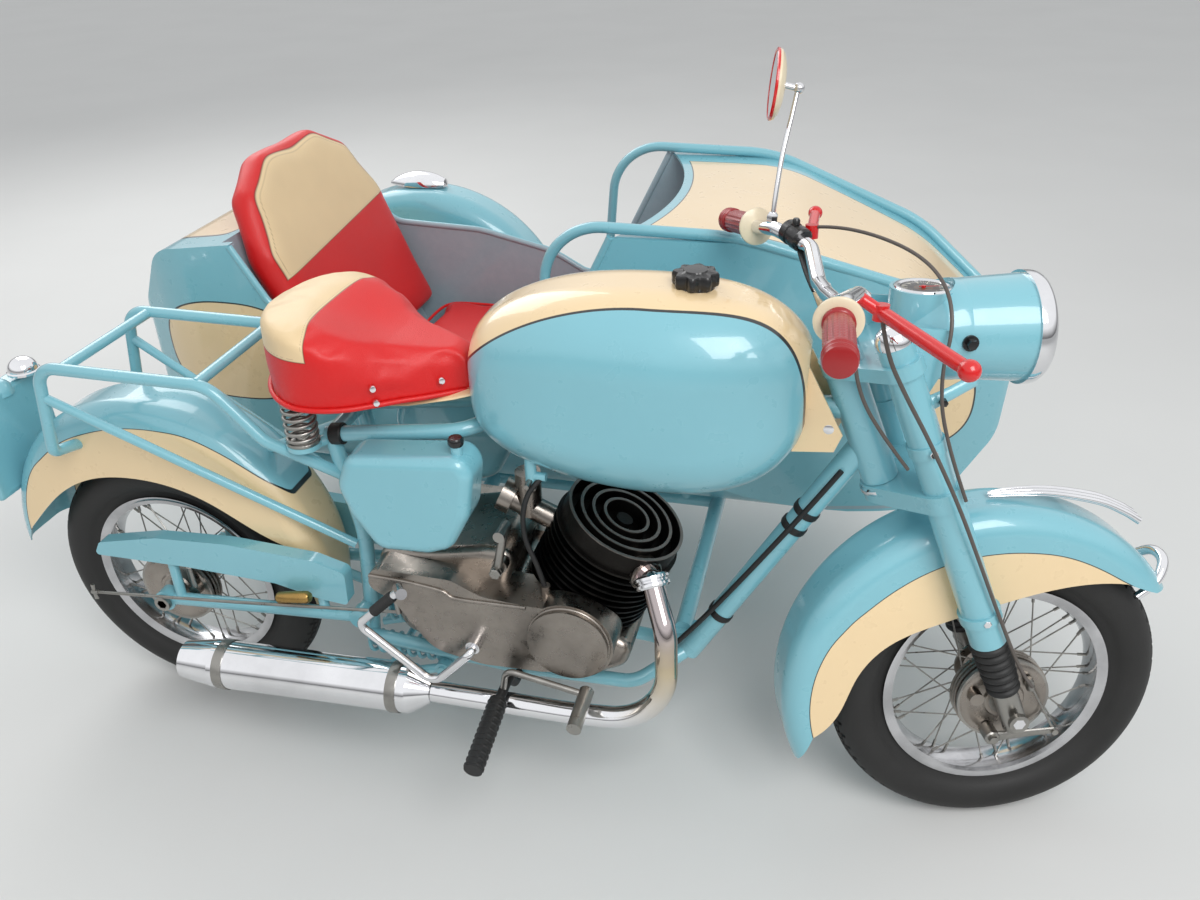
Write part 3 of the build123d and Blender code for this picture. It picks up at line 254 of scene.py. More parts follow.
class Finish:
    """A material's node tree with short ways to add and join nodes."""

    def __init__(self, name, colour, rough, metal=0.0, **sockets):
        self.material = bpy.data.materials.new(name)
        self.material.use_nodes = True
        self.tree = self.material.node_tree
        self.shader = self.tree.nodes["Principled BSDF"]
        self.shader.inputs["Base Color"].default_value = linear(colour)
        self.shader.inputs["Roughness"].default_value = rough
        self.shader.inputs["Metallic"].default_value = metal
        for key, value in sockets.items():
            self.shader.inputs[key.replace("_", " ")].default_value = value
        self.place = self.tree.nodes.new("ShaderNodeTexCoord").outputs["Object"]

    def node(self, kind, *ordered, **named):
        """A node of this kind; inputs are numbers, colours or other nodes' outputs."""
        made = self.tree.nodes.new("ShaderNode" + kind)
        for key, value in [*enumerate(ordered), *named.items()]:
            self.feed(made.inputs[key], value)
        return made

    def feed(self, socket, value):
        """Puts a number or colour on a socket, or joins another node's output to it."""
        if isinstance(value, Field):
            value = value.socket
        if isinstance(value, bpy.types.NodeSocket):
            self.tree.links.new(value, socket)
        else:
            socket.default_value = value

    def maths(self, operation, *values):
        """One Math node, given by its operation's name."""
        made = self.node("Math", *values)
        made.operation = operation
        return Field(self, made.outputs[0])

    def least(self, *values):
        """The smallest of several fields."""
        return functools.reduce(lambda a, b: self.maths("MINIMUM", a, b), values)

    def most(self, *values):
        """The largest of several fields."""
        return functools.reduce(lambda a, b: self.maths("MAXIMUM", a, b), values)

    def length(self, a, b):
        """The square root of a² + b²."""
        return self.maths("SQRT", a * a + b * b)

    def vector(self, operation, a, b):
        """One Vector Math node: a Field for a dot product or distance, else a vector."""
        made = self.node("VectorMath", a, b)
        made.operation = operation
        if operation in ("DOT_PRODUCT", "DISTANCE"):
            return Field(self, made.outputs["Value"])
        return made.outputs[0]

    def noise(self, scale, detail=3.0, rough=0.5):
        """Noise from 0 to 1 on Object coordinates."""
        made = self.node("TexNoise", Vector=self.place, Scale=scale, Detail=detail, Roughness=rough)
        return Field(self, made.outputs["Fac"])

    def blend(self, share, low, high):
        """A colour between two, by share."""
        made = self.node("Mix")
        made.data_type = "RGBA"
        for key, value in (("Factor", share), (6, low), (7, high)):
            self.feed(made.inputs[key], value)
        return made.outputs[2]

    def shade(self, drift, tone, low=0.95, high=1.03):
        """A colour that drifts a little darker and lighter."""
        tone = np.array(tone)
        return self.blend(drift, linear(tone * low), linear(np.minimum(tone * high, 1)))

    def ramp(self, value, start, end, low=0.0, high=1.0):
        """value from start to end, mapped to low to high and held beyond."""
        return Field(self, self.node("MapRange", value, start, end, low, high).outputs[0])

    def wander(self, scale, low, high):
        """A noise spread from low to high."""
        return self.ramp(self.noise(scale), 0.3, 0.7, low, high)

    def bump(self, height, strength, distance):
        """Small relief from a height."""
        made = self.node("Bump", Height=height, Strength=strength, Distance=distance)
        self.feed(self.shader.inputs["Normal"], made.outputs[0])

    def colour(self, value):
        self.feed(self.shader.inputs["Base Color"], value)

    def roughness(self, value):
        self.feed(self.shader.inputs["Roughness"], value)

    def split(self, vector):
        """The x, y and z of a vector."""
        return [Field(self, out) for out in self.node("SeparateXYZ", vector).outputs]

    def bike(self):
        """x, y and z from the motorcycle's own origin."""
        x, y, z = self.split(self.place)
        return x - float(BIKE_X), y - float(BIKE_Y), z

    def dot(self, vector, direction, middle=(0, 0, 0)):
        """How far a vector reaches along a direction from a middle point."""
        away = self.vector("SUBTRACT", vector, tuple(float(v) for v in middle))
        return self.vector("DOT_PRODUCT", away, tuple(float(v) for v in direction))

    def unturned(self):
        """Object coordinates of a steered piece, turned back to straight ahead."""
        turn = Matrix.Rotation(-STEER_REST, 3, Vector(STEER_UP))
        made = self.node("Mapping", Vector=self.place)
        made.inputs["Rotation"].default_value = turn.to_euler("XYZ")
        made.inputs["Location"].default_value = Vector(STEER_POINT) - turn @ Vector(STEER_POINT)
        return made.outputs[0]

    def through(self, value, points):
        """A smooth curve through points of value and result, as a Float Curve node."""
        xs, ys = np.array(sorted(points), float).T
        made = self.node("FloatCurve")
        line = made.mapping.curves[0]
        u = (xs - xs[0]) / (xs[-1] - xs[0])
        v = (ys - ys.min()) / max(np.ptp(ys), 1e-6)
        line.points[0].location = (u[0], v[0])
        line.points[1].location = (u[-1], v[-1])
        for a, b in zip(u[1:-1], v[1:-1]):
            line.points.new(float(a), float(b))
        made.mapping.update()
        self.feed(made.inputs["Value"], self.ramp(value, float(xs[0]), float(xs[-1])))
        return self.ramp(made.outputs[0], 0.0, 1.0, float(ys.min()), float(ys.max()))


BLUE = (0.50, 0.745, 0.795)
CREAM = (0.94, 0.83, 0.65)
RED = (0.85, 0.045, 0.045)
LINE = (0.10, 0.11, 0.12)

# %% [markdown]
# The enamel is a gloss clear coat over sky blue or cream. A broad, faint noise keeps
# it from being one flat colour, and a fine one ripples the reflections as thick
# hand-sprayed paint does. A panel of the second colour is a mask worked out from
# where a point lies: 0 outside, 1 inside, with the signed distance to its edge in
# metres, so that the dark lining along the edge is a band of that distance.

# %% Enamel


def enamel(name, colour, panel=None, second=None, lining=0.0016):
    """Gloss paint. panel(finish) gives metres inside the second colour's edge."""
    finish = Finish(name, colour, 0.30, Coat_Weight=0.9, Coat_Roughness=0.05)
    drift = finish.noise(3.0)
    paint = finish.shade(drift, colour)
    if panel:
        inside = panel(finish)
        paint = finish.blend(finish.ramp(inside, -0.0003, 0.0003), paint, finish.shade(drift, second))
        paint = finish.blend(finish.ramp(abs(inside), lining, lining * 0.7), paint, linear(LINE))
    finish.colour(paint)
    finish.roughness(finish.wander(40.0, 0.26, 0.36))
    finish.bump(finish.noise(30.0, 1.0), 0.06, 0.002)
    return finish.material


blue_paint = enamel("blue_enamel", BLUE)
cream_paint = enamel("cream_enamel", CREAM)
print("enamels ready")

# %% [markdown]
# Bare metal has no coat. What tells chrome from cast alloy is roughness and relief:
# chrome is nearly a mirror with a few faint wipe marks, sand-cast alloy is grainy
# and has grey grime settled in its low places.

# %% Metals


def metal(name, colour, rough, spread, grain, relief, dark=0.85):
    """Bare or plated metal: roughness wanders by spread, with a fine relief."""
    finish = Finish(name, colour, rough, 1.0)
    finish.roughness(finish.wander(grain, max(rough - spread, 0.02), rough + spread))
    wear_and_painted_highlight = finish.ramp(finish.noise(grain / 4, 5.0, 0.6), 0.35, 0.65)
    finish.colour(finish.blend(wear_and_painted_highlight, linear(np.array(colour) * dark), linear(colour)))
    finish.bump(finish.noise(grain * 3), relief, 0.001)
    return finish.material


chrome = metal("chrome", (0.93, 0.93, 0.94), 0.07, 0.04, 30, 0.01, 0.93)
rim_plate = metal("rim_plating", (0.80, 0.80, 0.81), 0.17, 0.07, 50, 0.03)
steel = metal("bare_steel", (0.66, 0.65, 0.63), 0.35, 0.1, 60, 0.1)
cast_alloy = metal("cast_alloy", (0.63, 0.60, 0.57), 0.30, 0.07, 60, 0.16, 0.86)
black_iron = metal("blackened_iron", (0.13, 0.13, 0.13), 0.45, 0.1, 100, 0.4, 0.6)


def exhaust_plate():
    """Chrome that heat has turned straw and blue near the port."""
    finish = Finish("heated_chrome", (0.9, 0.9, 0.9), 0.09, 1.0)
    away = finish.vector("DISTANCE", finish.place, tuple(rig((0.20, -0.11, 0.42))))
    far = away + finish.ramp(finish.noise(20.0), 0.0, 1.0, -0.02, 0.02)
    tint = finish.blend(
        finish.ramp(far, 0.05, 0.11), linear((0.72, 0.68, 0.68)), linear((0.84, 0.77, 0.64)),
    )
    finish.colour(finish.blend(finish.ramp(far, 0.10, 0.22), tint, linear((0.91, 0.91, 0.92))))
    finish.roughness(finish.wander(35.0, 0.05, 0.13))
    finish.bump(finish.noise(90.0), 0.02, 0.001)
    return finish.material


heated_chrome = exhaust_plate()
BARREL_LEAN = math.radians(25)
BARREL_UP = np.array((math.sin(BARREL_LEAN), 0.0, math.cos(BARREL_LEAN)))
BARREL_BASE = rig((0.046, 0.0, 0.333))


def head_iron():
    """Blackened iron, painted light grey from 187 mm up: a painted highlight on the head's top, where light falls.
    """
    finish = Finish("head_iron", (0.13, 0.13, 0.13), 0.45, 0.9)
    up = finish.dot(finish.place, BARREL_UP, BARREL_BASE)
    # Painted highlight: the head's top, from 187 mm up the barrel, is painted light grey as if lit, with a ragged
    # edge from noise.
    wear_and_painted_highlight = up + finish.ramp(finish.noise(60.0), 0.2, 0.8, -0.0008, 0.0008)
    soot = finish.blend(finish.noise(25.0), linear((0.10, 0.095, 0.09)), linear((0.17, 0.16, 0.15)))
    finish.colour(finish.blend(finish.ramp(wear_and_painted_highlight, 0.1860, 0.1874), soot, linear((0.50, 0.47, 0.45))))
    finish.roughness(finish.wander(90.0, 0.42, 0.56))
    finish.bump(finish.noise(300.0), 0.3, 0.001)
    return finish.material


head_paint = head_iron()

# %% [markdown]
# Rubber and moulded plastic take no clear coat of paint, but a soft sheen. Old rubber
# is greyer where it is rubbed; the noise that greys it also roughens it.

# %% Rubber and plastic


def moulded(name, colour, rough, grain, relief, dust=0.0, coat=0.0):
    """Rubber or plastic: a grainy relief, and a greyer bloom by a broad noise."""
    finish = Finish(name, colour, rough, Coat_Weight=coat, Coat_Roughness=0.1)
    bloom = finish.ramp(finish.noise(9.0, 4.0, 0.6), 0.35, 0.75)
    tone = np.array(colour)
    finish.colour(finish.blend(bloom, linear(tone), linear(tone * (1 - dust) + 0.42 * dust)))
    finish.roughness(finish.ramp(bloom, 0.0, 1.0, rough - 0.05, rough + 0.08))
    finish.bump(finish.noise(grain, 2.0), relief, 0.0008)
    return finish.material


black_rubber = moulded("black_rubber", (0.085, 0.085, 0.085), 0.55, 420, 0.25, 0.12)
tyre_rubber = moulded("tyre_rubber", (0.095, 0.093, 0.09), 0.62, 500, 0.35, 0.16)
black_plastic = moulded("black_plastic", (0.06, 0.06, 0.065), 0.28, 260, 0.1, 0.03, 0.3)
red_rubber = moulded("grip_rubber", (0.60, 0.04, 0.06), 0.30, 300, 0.15, 0.03, 0.45)
red_plastic = moulded("lever_sleeve", (0.82, 0.04, 0.05), 0.22, 200, 0.05, 0.0, 0.6)
cream_plastic = moulded("cream_plastic", (0.90, 0.84, 0.72), 0.3, 240, 0.08, 0.02, 0.3)

# %% [markdown]
# Leathercloth is a woven cloth under a soft vinyl skin pressed with a leather grain:
# small cells with sunken borders, which is what a Voronoi pattern's distance to edge
# gives. The light sheen comes from the coat. Panels of the second colour are sewn on,
# so their edge is a groove with a row of stitches beside it.

# %% Leathercloth


def leathercloth(name, colour, panel=None, second=None):
    """Grained vinyl; panel(finish) gives metres inside the second colour's edge."""
    finish = Finish(name, colour, 0.42, Coat_Weight=0.12, Coat_Roughness=0.30, Sheen_Weight=0.03)
    drift = finish.noise(6.0)
    skin = finish.shade(drift, colour, 0.93, 1.04)
    cells = finish.node("TexVoronoi", Vector=finish.place, Scale=420.0)
    cells.feature = "DISTANCE_TO_EDGE"
    grain = finish.ramp(cells.outputs["Distance"], 0.0, 0.22)
    height = grain + finish.ramp(finish.noise(70.0), 0.2, 0.8, 0.0, 0.5)
    if panel:
        inside = panel(finish)
        sewn_on = finish.shade(drift, second, 0.93, 1.04)
        skin = finish.blend(finish.ramp(inside, -0.0004, 0.0004), skin, sewn_on)
        groove = finish.ramp(abs(inside), 0.0016, 0.0004)
        skin = finish.blend(groove * 0.55, skin, linear((0.12, 0.05, 0.04)))
        row = finish.ramp(abs(inside - 0.004), 0.0007, 0.0003)
        run = finish.split(finish.place)[1]
        stitches = row * (finish.maths("SINE", run * 1500.0) > -0.2)
        skin = finish.blend(stitches * 0.6, skin, linear((0.70, 0.60, 0.45)))
        height = height - groove * 3.0 + stitches
    finish.colour(skin)
    finish.roughness(finish.ramp(grain, 0.0, 1.0, 0.52, 0.36))
    finish.bump(height, 0.28, 0.0007)
    return finish.material


red_cloth = leathercloth("red_leathercloth", RED)
print("finishes ready")

# %% [markdown]
# Where the two colours of enamel meet, the edge follows lines read off the machine.
# On both mudguards it is a radius over the angle round a middle point, as a Float
# Curve through a few points. On the tank's side it is two half ovals.

# %% Two-colour panels
TANK_MIDDLE = (0.170, 0.700)
FRONT_EDGE = (
    # x, z from the front guard's centre
    (-0.262, -0.083), (-0.275, 0.000), (-0.262, 0.073), (-0.225, 0.135), (-0.165, 0.192),
    (-0.090, 0.235), (0.000, 0.252), (0.085, 0.243), (0.150, 0.216), (0.205, 0.184), (0.240, 0.160),
)
REAR_EDGE = (
    # x, z from the rear guard's centre
    (-0.279, 0.029), (-0.267, 0.093), (-0.240, 0.150), (-0.192, 0.198), (-0.138, 0.235),
    (-0.081, 0.257), (-0.017, 0.272), (0.041, 0.275), (0.106, 0.267), (0.165, 0.241),
    (0.214, 0.208), (0.261, 0.168), (0.291, 0.127), (0.311, 0.082),
)
REAR_GUARD_CENTRE = (-0.720, 0.0, 0.330)
FRONT_AXLE = fork_point(0.060, 0, 0)
FRONT_GUARD_CENTRE = (FRONT_AXLE[0] - 0.030, 0.0, FRONT_AXLE[2] + 0.010)


def guard_panel(finish, place, centre, edge):
    """How far a point lies nearer to the centre than the edge at its angle."""
    x, y, z = finish.split(place)
    dx, dz = x - float(centre[0] + BIKE_X), z - float(centre[2])
    angle = finish.maths("ARCTAN2", dx * -1.0, dz)
    around = [(math.atan2(-px, pz), math.hypot(px, pz)) for px, pz in edge]
    return finish.through(angle, around) - finish.length(dx, dz)


def oval(u, v, centre, half, power=2.5):
    """Metres inside a rounded oval: (1 - (|u|^p + |v|^p)^(1/p)) · its smaller half."""
    a, b = abs((u - centre[0]) / half[0]), abs((v - centre[1]) / half[1])
    return (1.0 - (a ** power + b ** power) ** (1 / power)) * min(half)


def tank_panel(finish):
    """Two half ovals that meet over the tank's middle, the front one fuller."""
    x, y, z = finish.bike()
    behind = oval(x, z, TANK_MIDDLE, (0.300, 0.192), 2.0)
    ahead = oval(x, z, TANK_MIDDLE, (0.223, 0.192), 3.6)
    front = x > TANK_MIDDLE[0]
    return front * ahead + (1.0 - front) * behind


tank_paint = enamel("tank_enamel", CREAM, tank_panel, BLUE, 0.0013)
front_guard_paint = enamel(
    "front_guard_enamel", BLUE,
    lambda f: guard_panel(f, f.unturned(), FRONT_GUARD_CENTRE, FRONT_EDGE), CREAM, 0.0009,
)
rear_guard_paint = enamel(
    "rear_guard_enamel", BLUE,
    lambda f: guard_panel(f, f.place, REAR_GUARD_CENTRE, REAR_EDGE), CREAM, 0.0009,
)
print("two-colour enamels ready")

# %% [markdown]
# Every new piece is a sheet of points: rows by columns, joined into quads. A lathe
# turns a profile about an axis, a tube carries a round profile along a path. Points
# that fall together, at a pole or a seam, are merged, and then Blender makes all
# faces look outwards.

# %% Surfaces from grids
CREASE = math.radians(38)


def quads(rows, columns, loop=False):
    """Joins each point (r, c) with (r, c+1), (r+1, c+1) and (r+1, c), as index arrays."""
    r = np.arange(rows if loop else rows - 1)[:, None]
    c = np.arange(columns)[None, :]
    below, beside = (r + 1) % rows, (c + 1) % columns
    corners = (r * columns + c, r * columns + beside, below * columns + beside, below * columns + c)
    return np.stack(corners, axis=-1).reshape(-1, 4)


def frame_of(axis, hint=(0.0, 0.0, 1.0)):
    """Three unit directions at right angles: across, over, and the axis itself."""
    axis = np.asarray(axis, float) / np.linalg.norm(axis)
    hint = np.array(hint) if abs(axis @ hint) < 0.9 else np.array((1.0, 0, 0))
    across = np.cross(hint, axis)
    across /= np.linalg.norm(across)
    return across, np.cross(axis, across), axis


def lathe(profile, centre, axis, steps=48, loop=False):
    """centre + height · axis + radius · (cos a · across + sin a · over).

    profile is rows of (radius, height); a radius row may also be an array over a.
    """
    across, over, axis = frame_of(axis)
    a = np.linspace(0, 2 * math.pi, steps, endpoint=False)
    radius = np.array([np.broadcast_to(r, steps) for r, h in profile])
    height = np.array([h for r, h in profile], float)[:, None, None]
    ring = np.cos(a)[:, None] * across + np.sin(a)[:, None] * over
    points = np.asarray(centre, float) + height * axis + radius[..., None] * ring
    return points.reshape(-1, 3), quads(len(profile), steps, loop)


def tube(path, radius, hint=(0.0, 0.0, 1.0), sides=10, loop=False, flat=1.0):
    """path + radius · (cos a · across + flat · sin a · over), with both ends closed.

    across is at right angles to the path's direction and to a fixed hint.
    """
    path = np.asarray(path, float)
    if loop:
        along = np.roll(path, -1, 0) - np.roll(path, 1, 0)
    else:
        along = np.gradient(path, axis=0)
    along /= np.linalg.norm(along, axis=1)[:, None]
    across = np.cross(np.asarray(hint, float), along)
    across /= np.linalg.norm(across, axis=1)[:, None]
    over = np.cross(along, across)
    radius = np.broadcast_to(radius, len(path)).astype(float)
    if not loop:
        path = np.concatenate([path[:1], path, path[-1:]])
        across = np.concatenate([across[:1], across, across[-1:]])
        over = np.concatenate([over[:1], over, over[-1:]])
        radius = np.concatenate([[0.0], radius, [0.0]])
    a = np.linspace(0, 2 * math.pi, sides, endpoint=False)
    swing = np.cos(a)[None, :, None] * across[:, None] + flat * np.sin(a)[None, :, None] * over[:, None]
    points = path[:, None] + radius[:, None, None] * swing
    return points.reshape(-1, 3), quads(len(path), sides, loop)


def smooth_line(points, count):
    """A smooth path through points: a cubic between each two, with slopes from their
    neighbours (Catmull and Rom's way), all sampled at once."""
    p = np.asarray(points, float)
    p = np.concatenate([2 * p[:1] - p[1:2], p, 2 * p[-1:] - p[-2:-1]])
    t = np.linspace(0, len(p) - 3, count)
    i = np.minimum(t.astype(int), len(p) - 4)
    f = (t - i)[:, None]
    a, b, c, d = p[i], p[i + 1], p[i + 2], p[i + 3]
    bend, twist = 2 * a - 5 * b + 4 * c - d, 3 * b - a - 3 * c + d
    return 0.5 * (2 * b + (c - a) * f + bend * f ** 2 + twist * f ** 3)


def merged(*shapes):
    """Several shapes as one: each one's indices move on by the points before it."""
    before = np.cumsum([0] + [len(points) for points, faces in shapes[:-1]])
    points = np.concatenate([points for points, faces in shapes])
    return points, np.concatenate([faces + n for (p, faces), n in zip(shapes, before)])


def pair(make):
    """A shape for the left side and one for the right, as one."""
    return merged(make(1), make(-1))


def plug(radius, low, high):
    """A plain cylinder's profile."""
    return [(0, low), (radius, low), (radius, high), (0, high)]


def capped(radius, low, high, drop, inset):
    """A cylinder's profile with its far edge taken off."""
    return [(0, low), (radius, low), (radius, high - drop), (radius - inset, high), (0, high)]


def closed(radii, heights):
    """A profile of radii along heights, closed at both ends."""
    return [(0, heights[0])] + list(zip(radii, heights)) + [(0, heights[-1])]


def add_piece(name, shape, material, body="body", replaces=()):
    """A mesh object from points and quads, smooth but for edges sharper than CREASE."""
    points, faces = shape
    mesh = bpy.data.meshes.new(name)
    mesh.from_pydata(np.asarray(points).tolist(), [], np.asarray(faces).tolist())
    work = bmesh.new()
    work.from_mesh(mesh)
    bmesh.ops.remove_doubles(work, verts=work.verts, dist=1e-6)
    bmesh.ops.recalc_face_normals(work, faces=work.faces)
    work.to_mesh(mesh)
    work.free()
    mesh.shade_smooth()
    mesh.set_sharp_from_angle(angle=CREASE)
    mesh.materials.append(material)
    piece = bpy.data.objects.new(name, mesh)
    scene.collection.objects.link(piece)
    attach(piece, body)
    if replaces:
        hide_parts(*replaces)
    print(name, len(mesh.polygons), "faces")
    return piece


# %% [markdown]
# A road tyre's section is a rounded horseshoe. Its tread is a height taken off that
# round: five zigzag grooves along the tyre and short cuts across its shoulders. The
# grid has 12 rows to each cut, so that the pattern repeats exactly.

# %% Tyres
TYRE_CROWN, TYRE_MIDDLE = 0.039, 0.221
CUTS = 60
ROWS = CUTS * 12
GROOVES = np.array([-0.0185, -0.0095, 0.0, 0.0095, 0.0185])
ZIGZAG, TREAD_DEPTH = 0.0014, 0.0030


def tyre_shape(centre, axis):
    """radius = middle + (crown − groove) · cos a, height = (crown − groove) · sin a."""
    tread = np.linspace(-42, 42, 57)
    wall = np.array([48, 56, 65, 75, 87, 100, 114, 128, 140])
    a = np.radians(np.concatenate([-wall[::-1], tread, wall]))
    turn = np.linspace(0, 2 * math.pi, ROWS, endpoint=False)
    run = (turn * CUTS / (2 * math.pi))[:, None]
    arc = (TYRE_CROWN * a)[None, :]
    zigzag = ZIGZAG * (2 * np.abs(2 * (run % 1) - 1) - 1)
    near = np.min(np.abs(arc[..., None] - zigzag[..., None] - GROOVES), axis=-1)
    groove = np.clip((0.0017 - near) / 0.0006, 0, 1)
    side = np.sign(arc) * 0.25
    cut = np.abs((run + side) % 1 - 0.5) < 0.10
    shoulder = (np.abs(arc) > 0.020) & (np.abs(arc) < 0.0285)
    sipes = np.abs((run * 2 + side) % 1 - 0.5) < 0.10
    middle = (np.abs(arc) > 0.0115) & (np.abs(arc) < 0.0165)
    depth = TREAD_DEPTH * np.maximum(groove, (cut & shoulder) | (sipes & middle))
    depth = np.where(np.abs(arc) < 0.0286, depth, 0)

    def with_beads(middle_part, before, after):
        """The section's rows with the bead's points at its two ends."""
        ends = [np.broadcast_to(row, (ROWS, len(row))) for row in (before, after)]
        return np.concatenate([ends[0], middle_part, ends[1]], axis=1)

    radius = with_beads(TYRE_MIDDLE + (TYRE_CROWN - depth) * np.cos(a), (0.1685, 0.170), (0.170,))
    height = with_beads((TYRE_CROWN - depth) * np.sin(a), (0.0, -0.022), (0.022,))
    across, over, axis = frame_of(axis)
    ring = np.cos(turn)[:, None] * across + np.sin(turn)[:, None] * over
    points = np.asarray(centre) + height[..., None] * axis + radius[..., None] * ring[:, None]
    return points.reshape(-1, 3), quads(ROWS, radius.shape[1], True)


FRONT_HUB = np.array(JOINTS["front_wheel_spin"]["pos_m"])
FRONT_AXIS = np.array(JOINTS["front_wheel_spin"]["axis"])
WHEELS = (
    # name, hub, axle's direction, body
    ("front", FRONT_HUB, FRONT_AXIS, "front_wheel_body"),
    ("rear", REAR_HUB, ACROSS, "rear_wheel_body"),
    ("sidecar", SIDE_HUB, ACROSS, "sidecar_wheel_body"),
)
for name, hub, axis, body in WHEELS:
    add_piece(name + "_road_tyre", tyre_shape(hub, axis), tyre_rubber, body, (name + "_tyre",))

# %% [markdown]
# A wheel is a rolled steel rim, a hub with a brake drum on its right, and 36 wire
# spokes laid tangentially, each crossing its neighbours, with a nipple at the rim.
# The ends of all spokes on one flange are worked out at once, over an array of angles.

# %% Wheels
RIM = (
    # radius, height of the rolled rim's section, once round
    (0.1800, -0.0280), (0.1795, -0.0250), (0.1760, -0.0238), (0.1690, -0.0230), (0.1668, -0.0160),
    (0.1625, -0.0105), (0.1620, 0.0), (0.1625, 0.0105), (0.1668, 0.0160), (0.1690, 0.0230),
    (0.1760, 0.0238), (0.1795, 0.0250), (0.1800, 0.0280), (0.1770, 0.0285), (0.1700, 0.0262),
    (0.1640, 0.0240), (0.1600, 0.0110), (0.1594, 0.0), (0.1600, -0.0110), (0.1640, -0.0240),
    (0.1700, -0.0262), (0.1770, -0.0285),
)
HUB = (
    (0.0, 0.050), (0.018, 0.050), (0.024, 0.044), (0.030, 0.039), (0.043, 0.0385), (0.043, 0.0345),
    (0.030, 0.033), (0.023, 0.026), (0.022, 0.000), (0.028, -0.018), (0.052, -0.025),
    (0.071, -0.027), (0.074, -0.029), (0.074, -0.033), (0.071, -0.034), (0.071, -0.036),
    (0.074, -0.037), (0.074, -0.041), (0.071, -0.042), (0.071, -0.044), (0.074, -0.045),
    (0.074, -0.049), (0.066, -0.050), (0.0, -0.050),
)


def spokes(centre, axis, flange_radius, flange_height, rim_height, phase):
    """Straight wires from a hub flange at angle a to the rim at a ± lean."""
    across, over, axis = frame_of(axis)
    a = np.radians(phase + np.arange(18) * 20.0)
    lean = np.radians(np.where(np.arange(18) % 2, 26.0, -26.0))

    def at(angle, radius, height):
        """The points at these angles, at one radius and height."""
        ring = np.cos(angle)[:, None] * across + np.sin(angle)[:, None] * over
        return centre + height * axis + radius * ring

    start = at(a, flange_radius, flange_height)
    end = at(a + lean, 0.1605, rim_height)
    neck = start + (end - start) * 0.90
    wires = [tube(np.array(ends), 0.0013, axis, 6) for ends in zip(start, end)]
    nipples = [tube(np.array(ends), 0.0026, axis, 6) for ends in zip(neck, end)]
    return merged(*wires, *nipples)


for name, hub, axis, body in WHEELS:
    rim_shape = lathe(RIM, hub, axis, 128, True)
    add_piece(name + "_rim", rim_shape, rim_plate, body, (name + "_wheel",))
    wires = merged(
        spokes(hub, axis, 0.040, 0.0365, 0.006, 4.0), spokes(hub, axis, 0.070, -0.030, -0.006, 14.0)
    )
    add_piece(name + "_spokes", wires, steel, body)
    add_piece(name + "_hub", lathe(HUB, hub, axis, 72), cast_alloy, body)

# %% [markdown]
# The brake plates stay still while the drums turn. Each is a shallow cast dish with a
# raised ring and a boss for the cam. The rear one has a small lever for the rod.

# %% Brake plates
PLATE = (
    (0.0, -0.0580), (0.020, -0.0580), (0.024, -0.0625), (0.030, -0.0625), (0.033, -0.0590),
    (0.050, -0.0580), (0.056, -0.0602), (0.064, -0.0602), (0.068, -0.0582), (0.0715, -0.0560),
    (0.0720, -0.0525), (0.0, -0.0525),
)


def brake_cam(hub, axis, reach):
    """Where the brake's cam comes through its plate, and the way its lever points."""
    across, over, axis = frame_of(axis)
    return hub - axis * 0.060 + across * reach + over * 0.012, over


for name, hub, axis, reach, body in (
    ("front", FRONT_HUB, FRONT_AXIS, 0.048, "steering"), ("rear", REAR_HUB, ACROSS, -0.048, "body"),
):
    dish = lathe(PLATE, hub, axis, 64)
    boss = lathe(plug(0.011, 0.0, 0.014), brake_cam(hub, axis, reach)[0], -axis, 20)
    add_piece(name + "_brake_dish", merged(dish, boss), cast_alloy, body)
cam, over = brake_cam(REAR_HUB, ACROSS, -0.048)
lever_line = np.linspace(cam - ACROSS * 0.010, cam - ACROSS * 0.012 + over * 0.052, 6)
lever = tube(lever_line, np.linspace(0.008, 0.0055, 6), ACROSS, 12, flat=0.45)
add_piece("rear_brake_lever", lever, steel, "body")

# %% [markdown]
# A coil spring is a wire carried along a helix: angle and height grow together. The
# last turn at each end lies flat, so the height follows a curve that starts and
# ends level.

# %% Coil springs


def coil(bottom, top, radius, wire, turns):
    """bottom + rise · axis + radius · (cos, sin)(2 pi · turns · t), with flat end turns."""
    bottom, top = np.asarray(bottom, float), np.asarray(top, float)
    across, over, axis = frame_of(top - bottom)
    t = np.linspace(0, 1, int(turns * 28))
    flat = 0.8 / turns
    rise = np.clip((t - flat / 2) / (1 - flat), 0, 1)
    rise = (wire + (np.linalg.norm(top - bottom) - 2 * wire) * rise)[:, None] * axis
    a = 2 * math.pi * turns * t
    path = bottom + rise + radius * (np.cos(a)[:, None] * across + np.sin(a)[:, None] * over)
    return tube(path, wire, axis)


SPRING_CUP = [
    (0, 0.0), (0.026, 0.0), (0.027, 0.003), (0.026, 0.006), (0.012, 0.006), (0.010, 0.010), (0, 0.010),
]
SADDLE_SPRING = (-0.374, 0.092)
REAR_SPRING = (0.045, 0.196)


def saddle_spring(side):
    """A coil between two cups under the saddle's rear corner."""
    x, y = SADDLE_SPRING[0], side * SADDLE_SPRING[1]
    return merged(
        coil(rig((x, y, 0.634)), rig((x, y, 0.712)), 0.0235, 0.0034, 6.5),
        lathe(SPRING_CUP, rig((x, y, 0.634)), (0, 0, 1), 32),
        lathe(SPRING_CUP, rig((x, y, 0.716)), (0, 0, -1), 32),
    )


def rear_spring(side):
    """A coil that lies along the bike, over its rod."""
    y, z = side * REAR_SPRING[0], REAR_SPRING[1]
    return merged(
        coil(rig((-0.343, y, z)), rig((-0.193, y, z)), 0.0185, 0.0036, 8.5),
        tube(rig([(-0.345, y, z), (-0.191, y, z)]), 0.011),
    )


